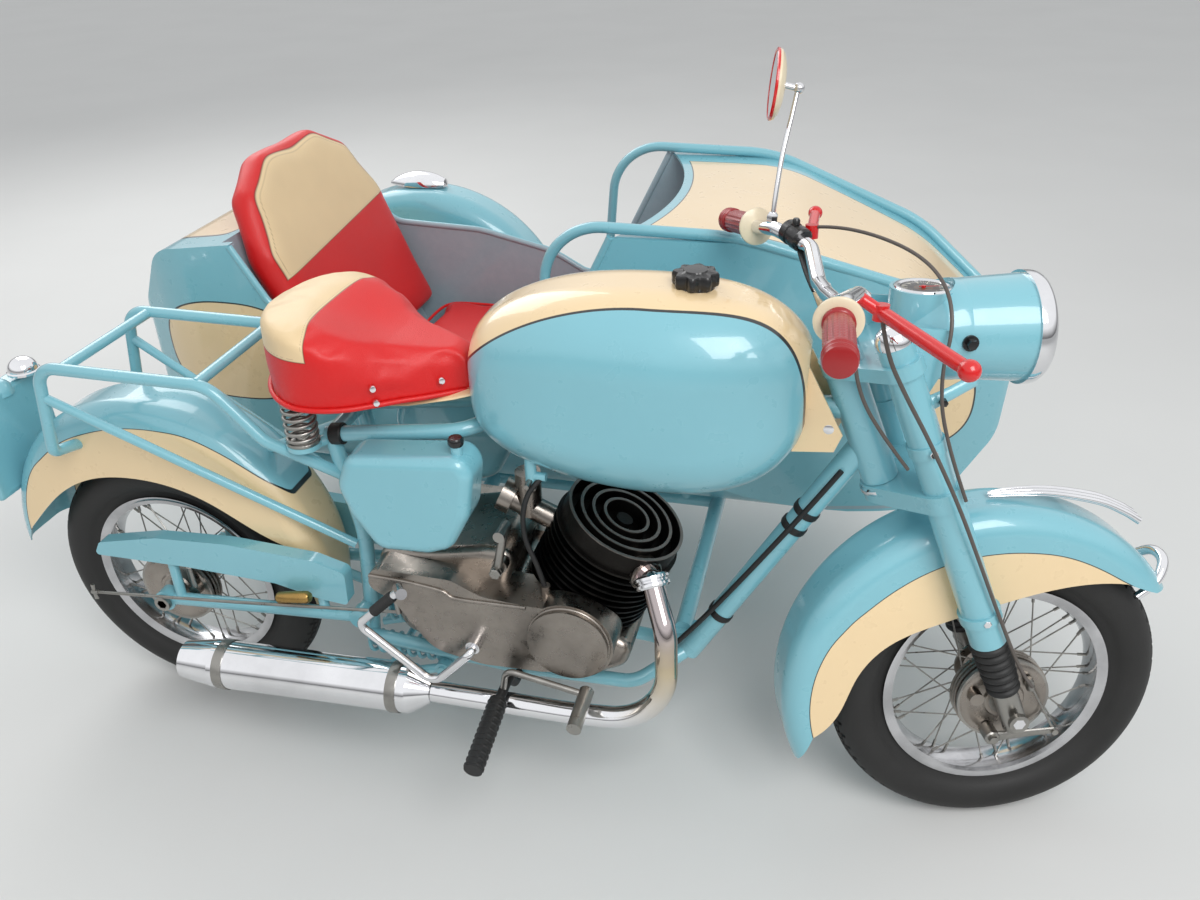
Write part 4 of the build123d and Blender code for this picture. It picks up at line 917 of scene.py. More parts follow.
bridge = tube(rig([(-0.374, -0.092, 0.713), (-0.374, 0.092, 0.713)]), 0.0045)
tongue_line = rig([(-0.385, 0, 0.712), (-0.25, 0, 0.712), (-0.092, 0, 0.712)])
tongue = tube(tongue_line, 0.015, (0, 0, 1), 12, flat=0.2)
post = tube(rig([(-0.110, 0, 0.688), (-0.110, 0, 0.7180)]), 0.010, (1, 0, 0), 16)
saddle_springs = merged(pair(saddle_spring), bridge, tongue, post)
add_piece("saddle_coil_springs", saddle_springs, steel, "body", ("saddle_springs",))
add_piece("rear_coil_springs", pair(rear_spring), blue_paint, "body", ("rear_springs",))

# %% [markdown]
# The gaiters are moulded bellows: each fold is a half wave of radius along the leg,
# a little wider towards the top.

# %% Fork gaiters
FOLDS = 7
LEG_HALF = 0.088


def bellows(left):
    """radius = slope + depth · |sin(pi · folds · t)|, turned about the fork leg."""
    t = np.linspace(0, 1, FOLDS * 10 + 1)
    radius = 0.0190 + 0.0050 * t + 0.0062 * np.abs(np.sin(math.pi * FOLDS * t)) ** 0.7
    height = 0.0440 + 0.0990 * t
    foot = steered(fork_point(0.060, left, 0.0))
    inner = [(0.0152, height[-1]), (0.0152, height[0])]
    return lathe(list(zip(radius, height)) + inner + [(radius[0], height[0])], foot, STEER_UP, 40)


both_bellows = pair(lambda side: bellows(side * LEG_HALF))
add_piece("fork_bellows", both_bellows, black_rubber, "steering", ("gaiters",))

# %% [markdown]
# Each grip is a rubber sleeve with shallow flutes, a ribbed collar at its inner end
# and a thicker one outside, against a cream disc on the bar.

# %% Grips
GRIP_START, GRIP_END = np.array((0.357, 0.250, 0.942)), np.array((0.330, 0.365, 0.931))


def grip(side):
    """radius(a, h): a barrel with 16 flutes in its middle and rings at both ends."""
    mirror = np.array((1, side, 1))
    start, end = steered(GRIP_START * mirror), steered(GRIP_END * mirror)
    length = np.linalg.norm(end - start)
    h = np.linspace(0.006, length, 90)
    a = np.linspace(0, 2 * math.pi, 64, endpoint=False)
    t = h / length
    body = 0.0165 + 0.0012 * np.sin(math.pi * t) + 0.0025 * (t > 0.80) + 0.0018 * (t < 0.13)
    middle = np.clip((t - 0.16) / 0.03, 0, 1) * np.clip((0.78 - t) / 0.03, 0, 1)
    flutes = 0.0007 * (np.cos(16 * a)[None, :] * (1 + 0.6 * np.cos(2 * math.pi * h / 0.007)[:, None]))
    rings = 0.0005 * np.cos(2 * math.pi * h / 0.0045) * ((t > 0.80) | (t < 0.13)) * (t < 0.97)
    dome = np.where(t > 0.97, np.sqrt(np.clip(1 - ((t - 0.97) / 0.03) ** 2, 0.0, 1)), 1.0)
    radius = (body[:, None] + middle[:, None] * flutes + rings[:, None]) * dome[:, None]
    return lathe(closed(radius, h), start, end - start, 64), start, (end - start) / length


GRIPS = [grip(side) for side in (1, -1)]
sleeves = merged(*[shape for shape, start, way in GRIPS])
add_piece("handlebar_grips", sleeves, red_rubber, "steering", ("grips",))
FLANGE = [
    (0.0, -0.001), (0.026, -0.001), (0.0285, 0.0005), (0.029, 0.0025), (0.0285, 0.0045),
    (0.026, 0.0058), (0.018, 0.0062), (0.0, 0.0062),
]
discs = merged(*[lathe(FLANGE, start, way, 56) for shape, start, way in GRIPS])
add_piece("grip_discs", discs, cream_plastic, "steering")

# %% [markdown]
# The headlight's rim is a chromed ring that holds a pressed lens. Behind the glass is
# a bright bowl. The lens carries vertical flutes that spread the beam, as a fine wave
# in its relief.

# %% Headlight
LAMP = np.array((0.678, 0.0, 0.848))
lamp_at, lamp_axis = steered(LAMP), steered(LAMP + (1, 0, 0)) - steered(LAMP)
RING = (
    (0.0745, 0.000), (0.0790, 0.000), (0.0792, 0.006), (0.0790, 0.012), (0.0775, 0.018),
    (0.0740, 0.023), (0.0705, 0.0245), (0.0680, 0.0235), (0.0672, 0.021), (0.0690, 0.016),
    (0.0720, 0.004),
)
lamp_ring = lathe(RING, lamp_at, lamp_axis, 96, True)
add_piece("lamp_ring", lamp_ring, chrome, "steering", ("headlight_rim",))
s = np.linspace(0, 1, 24)
quarter = s * math.pi / 2
outer = list(zip(0.0700 * np.sin(quarter), 0.020 + 0.018 * np.cos(quarter)))
inner = list(zip(0.0690 * np.sin(quarter[::-1]), 0.0175 + 0.018 * np.cos(quarter[::-1])))


def lens_glass():
    """Clear glass with flutes across its width."""
    finish = Finish("lamp_glass", (0.97, 0.98, 0.98), 0.04, Transmission_Weight=1.0, IOR=1.46)
    side = finish.dot(finish.place, np.cross(STEER_UP, lamp_axis), lamp_at)
    finish.roughness(finish.wander(60.0, 0.02, 0.06))
    finish.bump(finish.maths("SINE", side * 900.0), 0.25, 0.001)
    return finish.material


glass = lens_glass()
add_piece("lamp_lens", lathe(outer + inner, lamp_at, lamp_axis, 72), glass, "steering")
bowl = list(zip(0.0700 * s, 0.004 + 0.014 * s ** 2))
bowl += list(zip(0.0715 * s[::-1], 0.0015 + 0.014 * s[::-1] ** 2))
add_piece("lamp_bowl", lathe(bowl, lamp_at, lamp_axis, 72), chrome, "steering")

# %% [markdown]
# The speedometer sits in the lamp's top: a chromed bezel, a dark face with a ring of
# ticks, and a thin needle. The ticks are a pattern of the angle and radius round the
# dial's middle, so they stay round and even.

# %% Speedometer
DIAL = np.array((0.540, 0.0, 0.898))
dial_at, dial_axis = steered(DIAL), steered(DIAL + (0, 0, 1)) - steered(DIAL)
DIAL_WAYS = frame_of(dial_axis, tuple(lamp_axis))[:2]


def dial_face():
    """A dark face with fine and bold ticks, and a lighter middle."""
    finish = Finish("dial_face", (0.16, 0.13, 0.11), 0.35, Coat_Weight=0.6, Coat_Roughness=0.05)
    u, v = (finish.dot(finish.place, way, dial_at) for way in DIAL_WAYS)
    angle, radius = finish.maths("ARCTAN2", v, u), finish.length(u, v)

    def ticks(count, share, start):
        """Lines at count even angles, from a radius of start to 29 mm."""
        even = finish.maths("COSINE", angle * count) > share
        return even * (finish.ramp(radius, start, start + 0.0002) * finish.ramp(radius, 0.0292, 0.0290))

    base = finish.blend(finish.noise(50.0), linear((0.13, 0.10, 0.09)), linear((0.19, 0.15, 0.12)))
    base = finish.blend(finish.ramp(radius, 0.0132, 0.0128), base, linear((0.36, 0.27, 0.18)))
    marks = finish.most(ticks(60.0, 0.75, 0.0256), ticks(12.0, 0.93, 0.0216))
    finish.colour(finish.blend(marks, base, linear((0.93, 0.90, 0.80))))
    finish.roughness(finish.wander(80.0, 0.3, 0.42))
    return finish.material


BEZEL = (
    (0.0312, 0.0085), (0.0395, 0.0085), (0.0398, 0.0105), (0.0385, 0.0125), (0.0350, 0.0132),
    (0.0325, 0.0125), (0.0312, 0.0110),
)
face = lathe(plug(0.0396, 0.0, 0.0095), dial_at, dial_axis, 64)
add_piece("dial_plate", face, dial_face(), "steering", ("speedometer",))
add_piece("dial_bezel", lathe(BEZEL, dial_at, dial_axis, 72, True), chrome, "steering")
needle_path = dial_at + dial_axis * 0.0112 + np.linspace(-0.006, 0.023, 8)[:, None] * DIAL_WAYS[1]
needle = tube(needle_path, np.linspace(0.0013, 0.0004, 8), dial_axis, 6, flat=0.5)
knob = lathe([(0, 0.0095), (0.003, 0.0095), (0.003, 0.0125), (0.0, 0.0130)], dial_at, dial_axis, 20)
add_piece("dial_needle", merged(needle, knob), red_plastic, "steering")

# %% [markdown]
# The mirror's back is a shallow dish with a rolled red edge, on a thin rod with a ball
# joint. Its glass is plain silver.

# %% Mirror
MIRROR = np.array((0.384, 0.258, 1.150))
mirror_at = steered(MIRROR)
backwards = np.array((-1, 0.12, 0.1))
mirror_way = steered(MIRROR + backwards / np.linalg.norm(backwards)) - mirror_at
SHELL = (
    (0.0, -0.005), (0.014, -0.0052), (0.030, -0.004), (0.044, -0.000), (0.0505, 0.005),
    (0.0515, 0.009), (0.0495, 0.0105), (0.0, 0.0105),
)
EDGE = (
    (0.0495, 0.0085), (0.0520, 0.0085), (0.0522, 0.0115), (0.0500, 0.0130), (0.0475, 0.0125),
    (0.0475, 0.0106),
)
shell = lathe(SHELL, mirror_at, mirror_way, 64)
add_piece("mirror_shell", shell, cream_plastic, "steering", ("mirror",))
edge = lathe(EDGE, mirror_at, mirror_way, 64, True)
add_piece("mirror_edge", edge, red_plastic, "steering")
silver = metal("mirror_glass", (0.92, 0.93, 0.95), 0.03, 0.01, 20, 0.0, 0.98)
pane = [(0.0, 0.0108), (0.0474, 0.0108), (0.0474, 0.0118), (0.0, 0.0120)]
add_piece("mirror_pane", lathe(pane, mirror_at, mirror_way, 64), silver, "steering")
STEM = (
    (0.372, 0.214, 0.950), (0.376, 0.218, 0.990), (0.386, 0.231, 1.050), (0.400, 0.246, 1.105),
    (0.410, 0.256, 1.146),
)
ARM = ((0.412, 0.256, 1.144), (0.400, 0.257, 1.147), (0.388, 0.258, 1.150))
ball = [(0.0085 * math.sin(t), 0.0085 * -math.cos(t)) for t in np.linspace(0, math.pi, 13)]
stem = merged(
    tube(steered(smooth_line(STEM, 30)), 0.0038, (1, 0, 0), 12),
    tube(steered(smooth_line(ARM, 8)), 0.0048, (0, 1, 0), 12),
    lathe(ball, steered((0.411, 0.256, 1.145)), (0, 0, 1), 24),
    lathe(capped(0.009, 0, 0.016, 0.004, 0.003), steered((0.3725, 0.2145, 0.955)), (0, 0, 1), 6),
)
add_piece("mirror_stem", stem, chrome, "steering")

# %% [markdown]
# The seats are padding under tight leathercloth. Each starts as its CAD block, set in
# a little, with an even mesh of small voxels. Air pressure in a cloth simulation then
# swells it, as stuffing does, while its base stays flat on its board. A cap on how far
# any point may move keeps it in its place.

# %% Padding
PRESSURE, LAST_FRAME = 4.0, 20
FADE = 0.060


def even_copy(name, node, voxel, inset):
    """The node's block with merged points and an even voxel mesh, set in by inset."""
    piece = bpy.data.objects.new(name, NODES[node].data.copy())
    scene.collection.objects.link(piece)
    work = bmesh.new()
    work.from_mesh(piece.data)
    bmesh.ops.remove_doubles(work, verts=work.verts, dist=1e-5)
    work.to_mesh(piece.data)
    work.free()
    even = piece.modifiers.new("even", "REMESH")
    even.mode = "VOXEL"
    even.voxel_size = voxel
    bake(piece)
    normals = np.empty(len(piece.data.vertices) * 3)
    piece.data.vertices.foreach_get("normal", normals)
    points = places(piece.data) - normals.reshape(-1, 3) * inset
    piece.data.vertices.foreach_set("co", points.ravel())
    return piece


def places(mesh):
    """All of a mesh's points as one array."""
    points = np.empty(len(mesh.vertices) * 3)
    mesh.vertices.foreach_get("co", points)
    return points.reshape(-1, 3)


def bake(piece):
    """Puts what a piece's modifiers make into its own mesh and drops them."""
    seen = piece.evaluated_get(bpy.context.evaluated_depsgraph_get())
    mesh = bpy.data.meshes.new_from_object(seen)
    piece.modifiers.clear()
    piece.data = mesh


def swell(piece, cap, base):
    """Cloth under air pressure without gravity, held at its base edge.

    Each point's move is capped, and fades out towards the height of the base.
    """
    before = places(piece.data)
    cloth = piece.modifiers.new("swell", "CLOTH")
    cloth.settings.quality = 5
    cloth.settings.mass = 0.3
    cloth.settings.tension_stiffness = 12
    cloth.settings.bending_stiffness = 2.0
    cloth.settings.use_pressure = True
    cloth.settings.uniform_pressure_force = PRESSURE
    cloth.settings.effector_weights.gravity = 0
    cloth.point_cache.frame_start = 1
    cloth.point_cache.frame_end = LAST_FRAME
    for step in range(1, LAST_FRAME + 1):
        scene.frame_set(step)
    bake(piece)
    scene.frame_set(1)
    moved = places(piece.data) - before
    length = np.linalg.norm(moved, axis=1)[:, None]
    moved *= np.minimum(1.0, cap / np.maximum(length, 1e-9))
    moved *= np.clip((before[:, 2:] - base) / FADE, 0, 1)
    piece.data.vertices.foreach_set("co", (before + moved).ravel())
    return before + moved


def smoothed(piece, share, rounds):
    """Each point moves by share towards the mean of its neighbours, several times."""
    mesh = piece.data
    edges = np.empty(len(mesh.edges) * 2, int)
    mesh.edges.foreach_get("vertices", edges)
    edges = edges.reshape(-1, 2)
    points = places(mesh)
    count = np.bincount(edges.ravel(), minlength=len(points))[:, None]
    for _ in range(rounds):
        total = np.zeros_like(points)
        np.add.at(total, edges[:, 0], points[edges[:, 1]])
        np.add.at(total, edges[:, 1], points[edges[:, 0]])
        points = points + share * (total / np.maximum(count, 1) - points)
    mesh.vertices.foreach_set("co", points.ravel())
    return points


def refit(points, block, axes):
    """Stretches the points along each axis back to the block's extent."""
    middle = (block.min(0) + block.max(0)) / 2
    for axis in axes:
        wanted, now = (block - middle) @ axis, (points - middle) @ axis
        scale = np.ptp(wanted) / np.ptp(now)
        target = (wanted.min() + wanted.max()) / 2 + (now - (now.min() + now.max()) / 2) * scale
        points = points + (target - now)[:, None] * axis
    return points


def finish_pad(piece, points, material, node):
    piece.data.vertices.foreach_set("co", points.ravel())
    piece.data.update()
    soft = piece.modifiers.new("soft", "SUBSURF")
    soft.levels = soft.render_levels = 1
    bake(piece)
    piece.data.materials.clear()
    piece.data.materials.append(material)
    piece.data.shade_smooth()
    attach(piece, "body")
    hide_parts(node)
    low, high = points.min(0).round(3).tolist(), points.max(0).round(3).tolist()
    print(piece.name, len(piece.data.polygons), "faces, box", low, high)


# %% [markdown]
# The saddle is wide behind and narrow in front. Its cream cantle is a crescent on the
# top: what lies behind a parabola seen from above. Red piping closes the bottom edge,
# and a cream pan shows under it.

# %% Saddle


def saddle_panel(finish):
    """Metres inside the cream: behind x = -0.337 + y², on the top alone."""
    x, y, z = finish.bike()
    return finish.least(y * y + -0.337 - x, z - 0.797)


saddle_cloth = leathercloth("saddle_leathercloth", RED, saddle_panel, CREAM)
SADDLE_HALF = (
    # x, half width, from the nose back
    (-0.104, 0.030), (-0.130, 0.042), (-0.165, 0.066), (-0.200, 0.086), (-0.235, 0.109),
    (-0.272, 0.131), (-0.312, 0.142), (-0.352, 0.140), (-0.390, 0.118), (-0.420, 0.084),
    (-0.440, 0.042),
)
saddle_pad = even_copy("saddle_pad", "saddle", 0.005, 0.004)
points = swell(saddle_pad, 0.010, 0.715)
points = smoothed(saddle_pad, 0.5, 4)
bike = points - (BIKE_X, BIKE_Y, 0)
seat = np.clip((bike[:, 2] - 0.775) / 0.03, 0, 1)
dish = np.exp(-((bike[:, 0] + 0.275) / 0.085) ** 2 - (bike[:, 1] / 0.075) ** 2)
points[:, 2] -= 0.010 * dish * seat
points[:, 2] = np.maximum(points[:, 2], 0.7165)
finish_pad(saddle_pad, points, saddle_cloth, "saddle")
outline = np.array(SADDLE_HALF)
right_edge = np.column_stack([outline[:, 0], 0.0030 - outline[:, 1], np.full(len(outline), 0.7200)])
left_edge = right_edge[::-1] * (1, -1, 1)
round_it = np.concatenate([right_edge, [(-0.443, 0.0, 0.7200)], left_edge])
piping = smooth_line(rig(round_it), 160)
add_piece("saddle_piping", tube(piping, 0.0042, (0, 0, 1), 10), red_cloth, "body")
pan_line = rig([(-0.270, 0, 0.692), (-0.200, 0, 0.702), (-0.130, 0, 0.715), (-0.070, 0, 0.728)])
pan = tube(pan_line, (0.060, 0.064, 0.056, 0.040), (0, 0, 1), 32, flat=0.12)
add_piece("saddle_pan", pan, cream_paint, "body")
STUD = [(0, -0.003), (0.0058, -0.002), (0.0060, 0.0), (0.0045, 0.0024), (0.0, 0.0034)]


def stud(x, z, side):
    """A round-headed stud that stands square to the skirt."""
    half, further = np.interp((-x, -x + 0.01), -outline[:, 0], outline[:, 1])
    way = np.array(((further - half) / 0.01, side, 0.1))
    return lathe(STUD, rig((x, side * (half + 0.001), z)), way / np.linalg.norm(way), 20)


STUD_PLACES = ((-0.232, 0.749), (-0.230, 0.725), (-0.145, 0.744))
studs = pair(lambda side: merged(*[stud(x, z, side) for x, z in STUD_PLACES]))
add_piece("saddle_studs", studs, chrome, "body")

# %% [markdown]
# The sidecar's bench and its raked backrest are made the same way. The backrest's
# front shows a cream panel above a slanted seam, with red sides.

# %% Bench and backrest
BODY_MIDDLE = 0.615
BACK_RAKE = math.radians(23.3)
BACK_FOOT = np.array((-0.533, BODY_MIDDLE, 0.484))
BACK_UP = np.array((-math.sin(BACK_RAKE), 0, math.cos(BACK_RAKE)))
BACK_OUT = np.array((math.cos(BACK_RAKE), 0, math.sin(BACK_RAKE)))


def back_panel(finish):
    """Metres above the slanted seam v = 0.264 + 0.08 u, on the front face only."""
    side, up, front = (
        finish.dot(finish.place, way, rig(BACK_FOOT)) for way in (ACROSS, BACK_UP, BACK_OUT)
    )
    return finish.least(up - (side * 0.08 + 0.264), front + 0.0125)


back_cloth = leathercloth("backrest_leathercloth", RED, back_panel, CREAM)
bench_pad = even_copy("bench_pad", "sidecar_cushion", 0.006, 0.006)
points = swell(bench_pad, 0.014, 0.374)
points = smoothed(bench_pad, 0.5, 4)
points[:, 2] = np.maximum(points[:, 2], 0.374)
finish_pad(bench_pad, points, red_cloth, "sidecar_cushion")

back_pad = even_copy("backrest_pad", "sidecar_backrest", 0.006, 0.004)
block = places(back_pad.data)
points = swell(back_pad, 0.012, 0.470)
points = refit(smoothed(back_pad, 0.5, 40), block, (BACK_UP, ACROSS, BACK_OUT))
depth = (points - rig(BACK_FOOT)) @ BACK_OUT
points += np.maximum(-0.084 - depth, 0)[:, None] * BACK_OUT
finish_pad(back_pad, points, back_cloth, "sidecar_backrest")

s = np.linspace(0, 2 * math.pi, 160, endpoint=False)
square = np.column_stack([np.cos(s), np.sin(s)])
square = np.sign(square) * np.abs(square) ** 0.22
bench_line = np.column_stack(
    [-0.360 + 0.166 * square[:, 0], BODY_MIDDLE + 0.256 * square[:, 1], np.full(160, 0.4655)]
)
bench_piping = tube(rig(bench_line), 0.0034, (0, 0, 1), 8, loop=True)
add_piece("bench_piping", bench_piping, red_cloth, "body")

# %% [markdown]
# Cables and the fuel hose run along their whole length held by clips, so each is one
# smooth NURBS curve with a round bevel, made a mesh at the end.

# %% Cables


def cable(name, points, radius, material, body, replaces=()):
    """A NURBS curve of order 3 through its ends, near its other control points."""
    data = bpy.data.curves.new(name, "CURVE")
    data.dimensions = "3D"
    data.bevel_depth = radius
    data.bevel_resolution = 4
    data.use_fill_caps = True
    line = data.splines.new("NURBS")
    line.points.add(len(points) - 1)
    for knot, place in zip(line.points, points):
        knot.co = (*place, 1.0)
    line.order_u = 3
    line.use_endpoint_u = True
    line.resolution_u = 10
    made = bpy.data.objects.new(name, data)
    scene.collection.objects.link(made)
    mesh = bpy.data.meshes.new_from_object(made.evaluated_get(bpy.context.evaluated_depsgraph_get()))
    bpy.data.objects.remove(made)
    piece = bpy.data.objects.new(name, mesh)
    scene.collection.objects.link(piece)
    mesh.shade_smooth()
    mesh.materials.clear()
    mesh.materials.append(material)
    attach(piece, body)
    if replaces:
        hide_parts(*replaces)
    return piece


FRONT_CABLE = (
    (0.434, -0.165, 0.916), (0.440, -0.174, 0.876), (0.470, -0.168, 0.820), (0.520, -0.148, 0.740),
    (0.575, -0.134, 0.640), (0.622, -0.124, 0.540), (0.668, -0.118, 0.440), (0.712, -0.112, 0.350),
    (0.752, -0.088, 0.296), (0.757, -0.062, 0.288),
)
grey_cable = moulded("grey_cable", (0.34, 0.31, 0.29), 0.42, 200, 0.1)
cable("brake_cable", steered(FRONT_CABLE), 0.0028, grey_cable, "steering", ("front_cable",))
CLUTCH = (
    (0.424, 0.172, 0.956), (0.450, 0.150, 0.962), (0.495, 0.085, 0.962), (0.535, 0.010, 0.950),
    (0.552, -0.055, 0.925), (0.552, -0.094, 0.880), (0.540, -0.100, 0.820), (0.548, -0.112, 0.740),
    (0.590, -0.118, 0.640),
)
cable("clutch_cable", steered(CLUTCH), 0.0026, grey_cable, "steering")
THROTTLE = (
    (0.392, -0.190, 0.935), (0.398, -0.178, 0.880), (0.420, -0.150, 0.810), (0.462, -0.128, 0.745),
    (0.505, -0.116, 0.690),
)
cable("throttle_cable", steered(THROTTLE), 0.0026, grey_cable, "steering")
SWITCH_WIRE = ((0.404, 0.150, 0.925), (0.405, 0.100, 0.900), (0.412, 0.050, 0.880), (0.425, 0.010, 0.862))
cable("switch_wire", steered(SWITCH_WIRE), 0.0050, black_rubber, "steering")
FUEL = (
    (0.012, -0.070, 0.604), (-0.006, -0.082, 0.590), (-0.017, -0.096, 0.556), (-0.016, -0.101, 0.506),
    (0.004, -0.101, 0.456), (0.014, -0.101, 0.412),
)
cable("petrol_hose", rig(FUEL), 0.0042, black_rubber, "body", ("fuel_hose",))
LOOM = (
    (0.452, -0.022, 0.640), (0.412, -0.026, 0.575), (0.352, -0.027, 0.480), (0.296, -0.026, 0.392),
    (0.246, -0.024, 0.316), (0.205, -0.026, 0.262),
)
cable("wiring_loom", rig(LOOM), 0.0042, black_rubber, "body", ("loom",))
print("cables ready")

# %% [markdown]
# The bar carries a dip switch. Two brackets and two black bolts hold the headlight,
# and a chromed ring closes the steering head's top. The front brake's arm is pulled
# by the cable through an adjuster barrel.

# %% Bar and fork fittings
switch_at = steered((0.398, 0.165, 0.946))
switch_way = steered((0.414, 0.130, 0.937)) - switch_at
SWITCH = (
    (0.0, -0.021), (0.0150, -0.021), (0.0178, -0.018), (0.0182, -0.006), (0.0166, -0.005),
    (0.0166, 0.005), (0.0182, 0.006), (0.0178, 0.018), (0.0150, 0.021), (0.0, 0.021),
)
nub = lathe(capped(0.006, 0.014, 0.026, 0.003, 0.002), switch_at, (0, 0, 1), 16)
switch = merged(lathe(SWITCH, switch_at, switch_way, 40), nub)
add_piece("dip_switch", switch, black_plastic, "steering")


def bolt(place, radius, height, side):
    """A six-sided head on the fork, a little narrower and domed at its end."""
    profile = [(0, 0), (radius, 0), (radius - 0.001, height), (0, height + 0.001)]
    return lathe(profile, steered(place), steered_way((0, side, 0)), 6)


def ear_bolts(side):
    """The bolt and washer of the headlight's ear, and the bolt of its bracket."""
    return merged(
        lathe(plug(0.011, 0, 0.004), steered((0.586, side * 0.069, 0.850)), steered_way((0, side, 0)), 24),
        bolt((0.586, side * 0.072, 0.850), 0.008, 0.010, side),
        bolt((0.549, side * 0.096, 0.778), 0.006, 0.008, side),
    )


def bracket(side):
    """A flat stay from the fork to the headlight's ear."""
    path = [(0.530, side * 0.090, 0.772), (0.562, side * 0.086, 0.786), (0.596, side * 0.077, 0.800)]
    return tube(steered(path), (0.011, 0.0095, 0.009), steered_way((0, side, 0)), 14, flat=0.6)


add_piece("headlight_bolts", pair(ear_bolts), black_plastic, "steering")
add_piece("headlight_brackets", pair(bracket), blue_paint, "steering")
BEARING = [(0.0, 0.0), (0.0315, 0.0), (0.0330, 0.002), (0.0330, 0.008), (0.0300, 0.0105), (0.0, 0.0105)]
bearing = lathe(BEARING, steered(fork_point(0, 0, 0.404)), STEER_UP, 48)
add_piece("steering_ring", bearing, chrome, "steering")
BARREL = [(0, 0), (0.0060, 0), (0.0068, 0.003), (0.0068, 0.016), (0.0045, 0.022), (0, 0.022)]
arm_line = steered([(0.700, -0.082, 0.206), (0.748, -0.083, 0.211), (0.797, -0.082, 0.214)])
arm_out = steered_way((0, -1, 0))
cable_end = steered([(0.757, -0.066, 0.288), (0.778, -0.076, 0.250), (0.797, -0.082, 0.214)])
brake_arm = merged(
    tube(arm_line, (0.0095, 0.0070, 0.0060), arm_out, 14, flat=0.45),
    lathe(capped(0.012, -0.022, 0.006, 0.002, 0.002), arm_line[0], arm_out, 24),
    lathe([(0, 0.006), (0.0075, 0.006), (0.0070, 0.011), (0, 0.012)], arm_line[0], arm_out, 6),
    lathe(plug(0.0050, -0.007, 0.007), arm_line[2], arm_out, 16),
    tube(cable_end, 0.0018, arm_out, 8),
    lathe(BARREL, steered((0.757, -0.066, 0.282)), (-0.3, 0.0, 1.0), 12),
)
add_piece("front_brake_arm", brake_arm, steel, "steering")

# %% [markdown]
# The two colours and the bare parts go onto the CAD nodes. Inside the sidecar the
# paint is a matt grey blue; inside is told from outside by the way a face looks.

# %% Sidecar enamel


def tub_enamel():
    """Blue outside with cream ovals on tail and nose, matt grey blue inside."""
    finish = Finish("tub_enamel", BLUE, 0.3, Coat_Weight=0.85, Coat_Roughness=0.05)
    x, y, z = finish.bike()
    side = abs(y - BODY_MIDDLE)
    tail = finish.least(oval(x, z, (-0.765, 0.560), (0.158, 0.106)), side - 0.20)
    nose = finish.least(oval(x, z, (0.585, 0.520), (0.095, 0.085)), side - 0.07)
    deck = finish.least(oval(x, side, (-0.832, 0.0), (0.070, 0.215), 6.0), z - 0.735)
    inside = finish.most(tail, nose, deck)
    drift = finish.noise(3.0)
    paint = finish.blend(
        finish.ramp(inside, -0.0003, 0.0003), finish.shade(drift, BLUE), finish.shade(drift, CREAM),
    )
    paint = finish.blend(finish.ramp(abs(inside), 0.0018, 0.0012), paint, linear(LINE))
    fine = finish.noise(55.0, 5.0, 0.6)
    lining = finish.blend(fine, linear((0.56, 0.65, 0.69)), linear((0.63, 0.71, 0.74)))
    looks = finish.node("NewGeometry").outputs["Normal"]
    out = finish.vector("SUBTRACT", finish.place, tuple(rig((-0.30, BODY_MIDDLE, 0.52))))
    inner = (finish.vector("DOT_PRODUCT", looks, out) < 0.0) * (side < 0.2795)
    floor_board = (x > -0.150) * ((z < 0.3125) * (z > 0.3055))
    inner = finish.most(inner, floor_board)
    finish.colour(finish.blend(inner, paint, lining))
    finish.roughness(finish.wander(40.0, 0.26, 0.36) + inner * 0.35)
    finish.bump(finish.noise(30.0, 1.0) + fine * inner * 4.0, 0.06, 0.002)
    return finish.material


DECK_HALF = (
    # x, half width of the cream
    (0.00, 0.224), (0.20, 0.222), (0.38, 0.198), (0.56, 0.152), (0.68, 0.098), (0.745, 0.055),
)


def deck_panel(finish):
    """Metres inside the cream: a band's half width over x, with a round rear end."""
    x, y, z = finish.bike()
    band = finish.through(x, DECK_HALF) - abs(y - (BODY_MIDDLE - 0.010))
    away = finish.vector("SUBTRACT", finish.place, tuple(rig((-0.562, BODY_MIDDLE, 0.0))))
    dx, dy, dz = finish.split(away)
    return finish.least(band, finish.least(0.715 - x, finish.length(dx, dy) - 0.675))


ENAMELS = {
    "tank": tank_paint,
    "front_mudguard": front_guard_paint,
    "rear_mudguard": rear_guard_paint,
    "sidecar_tub": tub_enamel(),
    "sidecar_deck": enamel("deck_enamel", BLUE, deck_panel, CREAM, 0.0014),
    "exhaust_pipe": heated_chrome,
    "cylinder_head": head_paint,
}
MATERIALS = {
    "blue_paint": blue_paint, "cream_paint": cream_paint, "red_vinyl": red_cloth,
    "black_plastic": black_plastic, "steel": steel, "cast_alloy": cast_alloy,
    "black_iron": black_iron, "chrome": chrome, "wheel_chrome": rim_plate,
    "black_rubber": black_rubber, "red_rubber": red_rubber, "red_plastic": red_plastic,
    "tyre": tyre_rubber,
}
for part in frame["record"]["subparts"]:
    node = NODES[part["node"]]
    node.data.materials.clear()
    node.data.materials.append(ENAMELS.get(part["node"], MATERIALS[part["material_slot"]]))
print("materials", len(MATERIALS) + len(ENAMELS))

# %% [markdown]
# Small chromed trim: a ribbed strip on the front guard's top that stands off at its
# tip, a curved bumper at the guard's nose, and domed caps on the fork tubes.

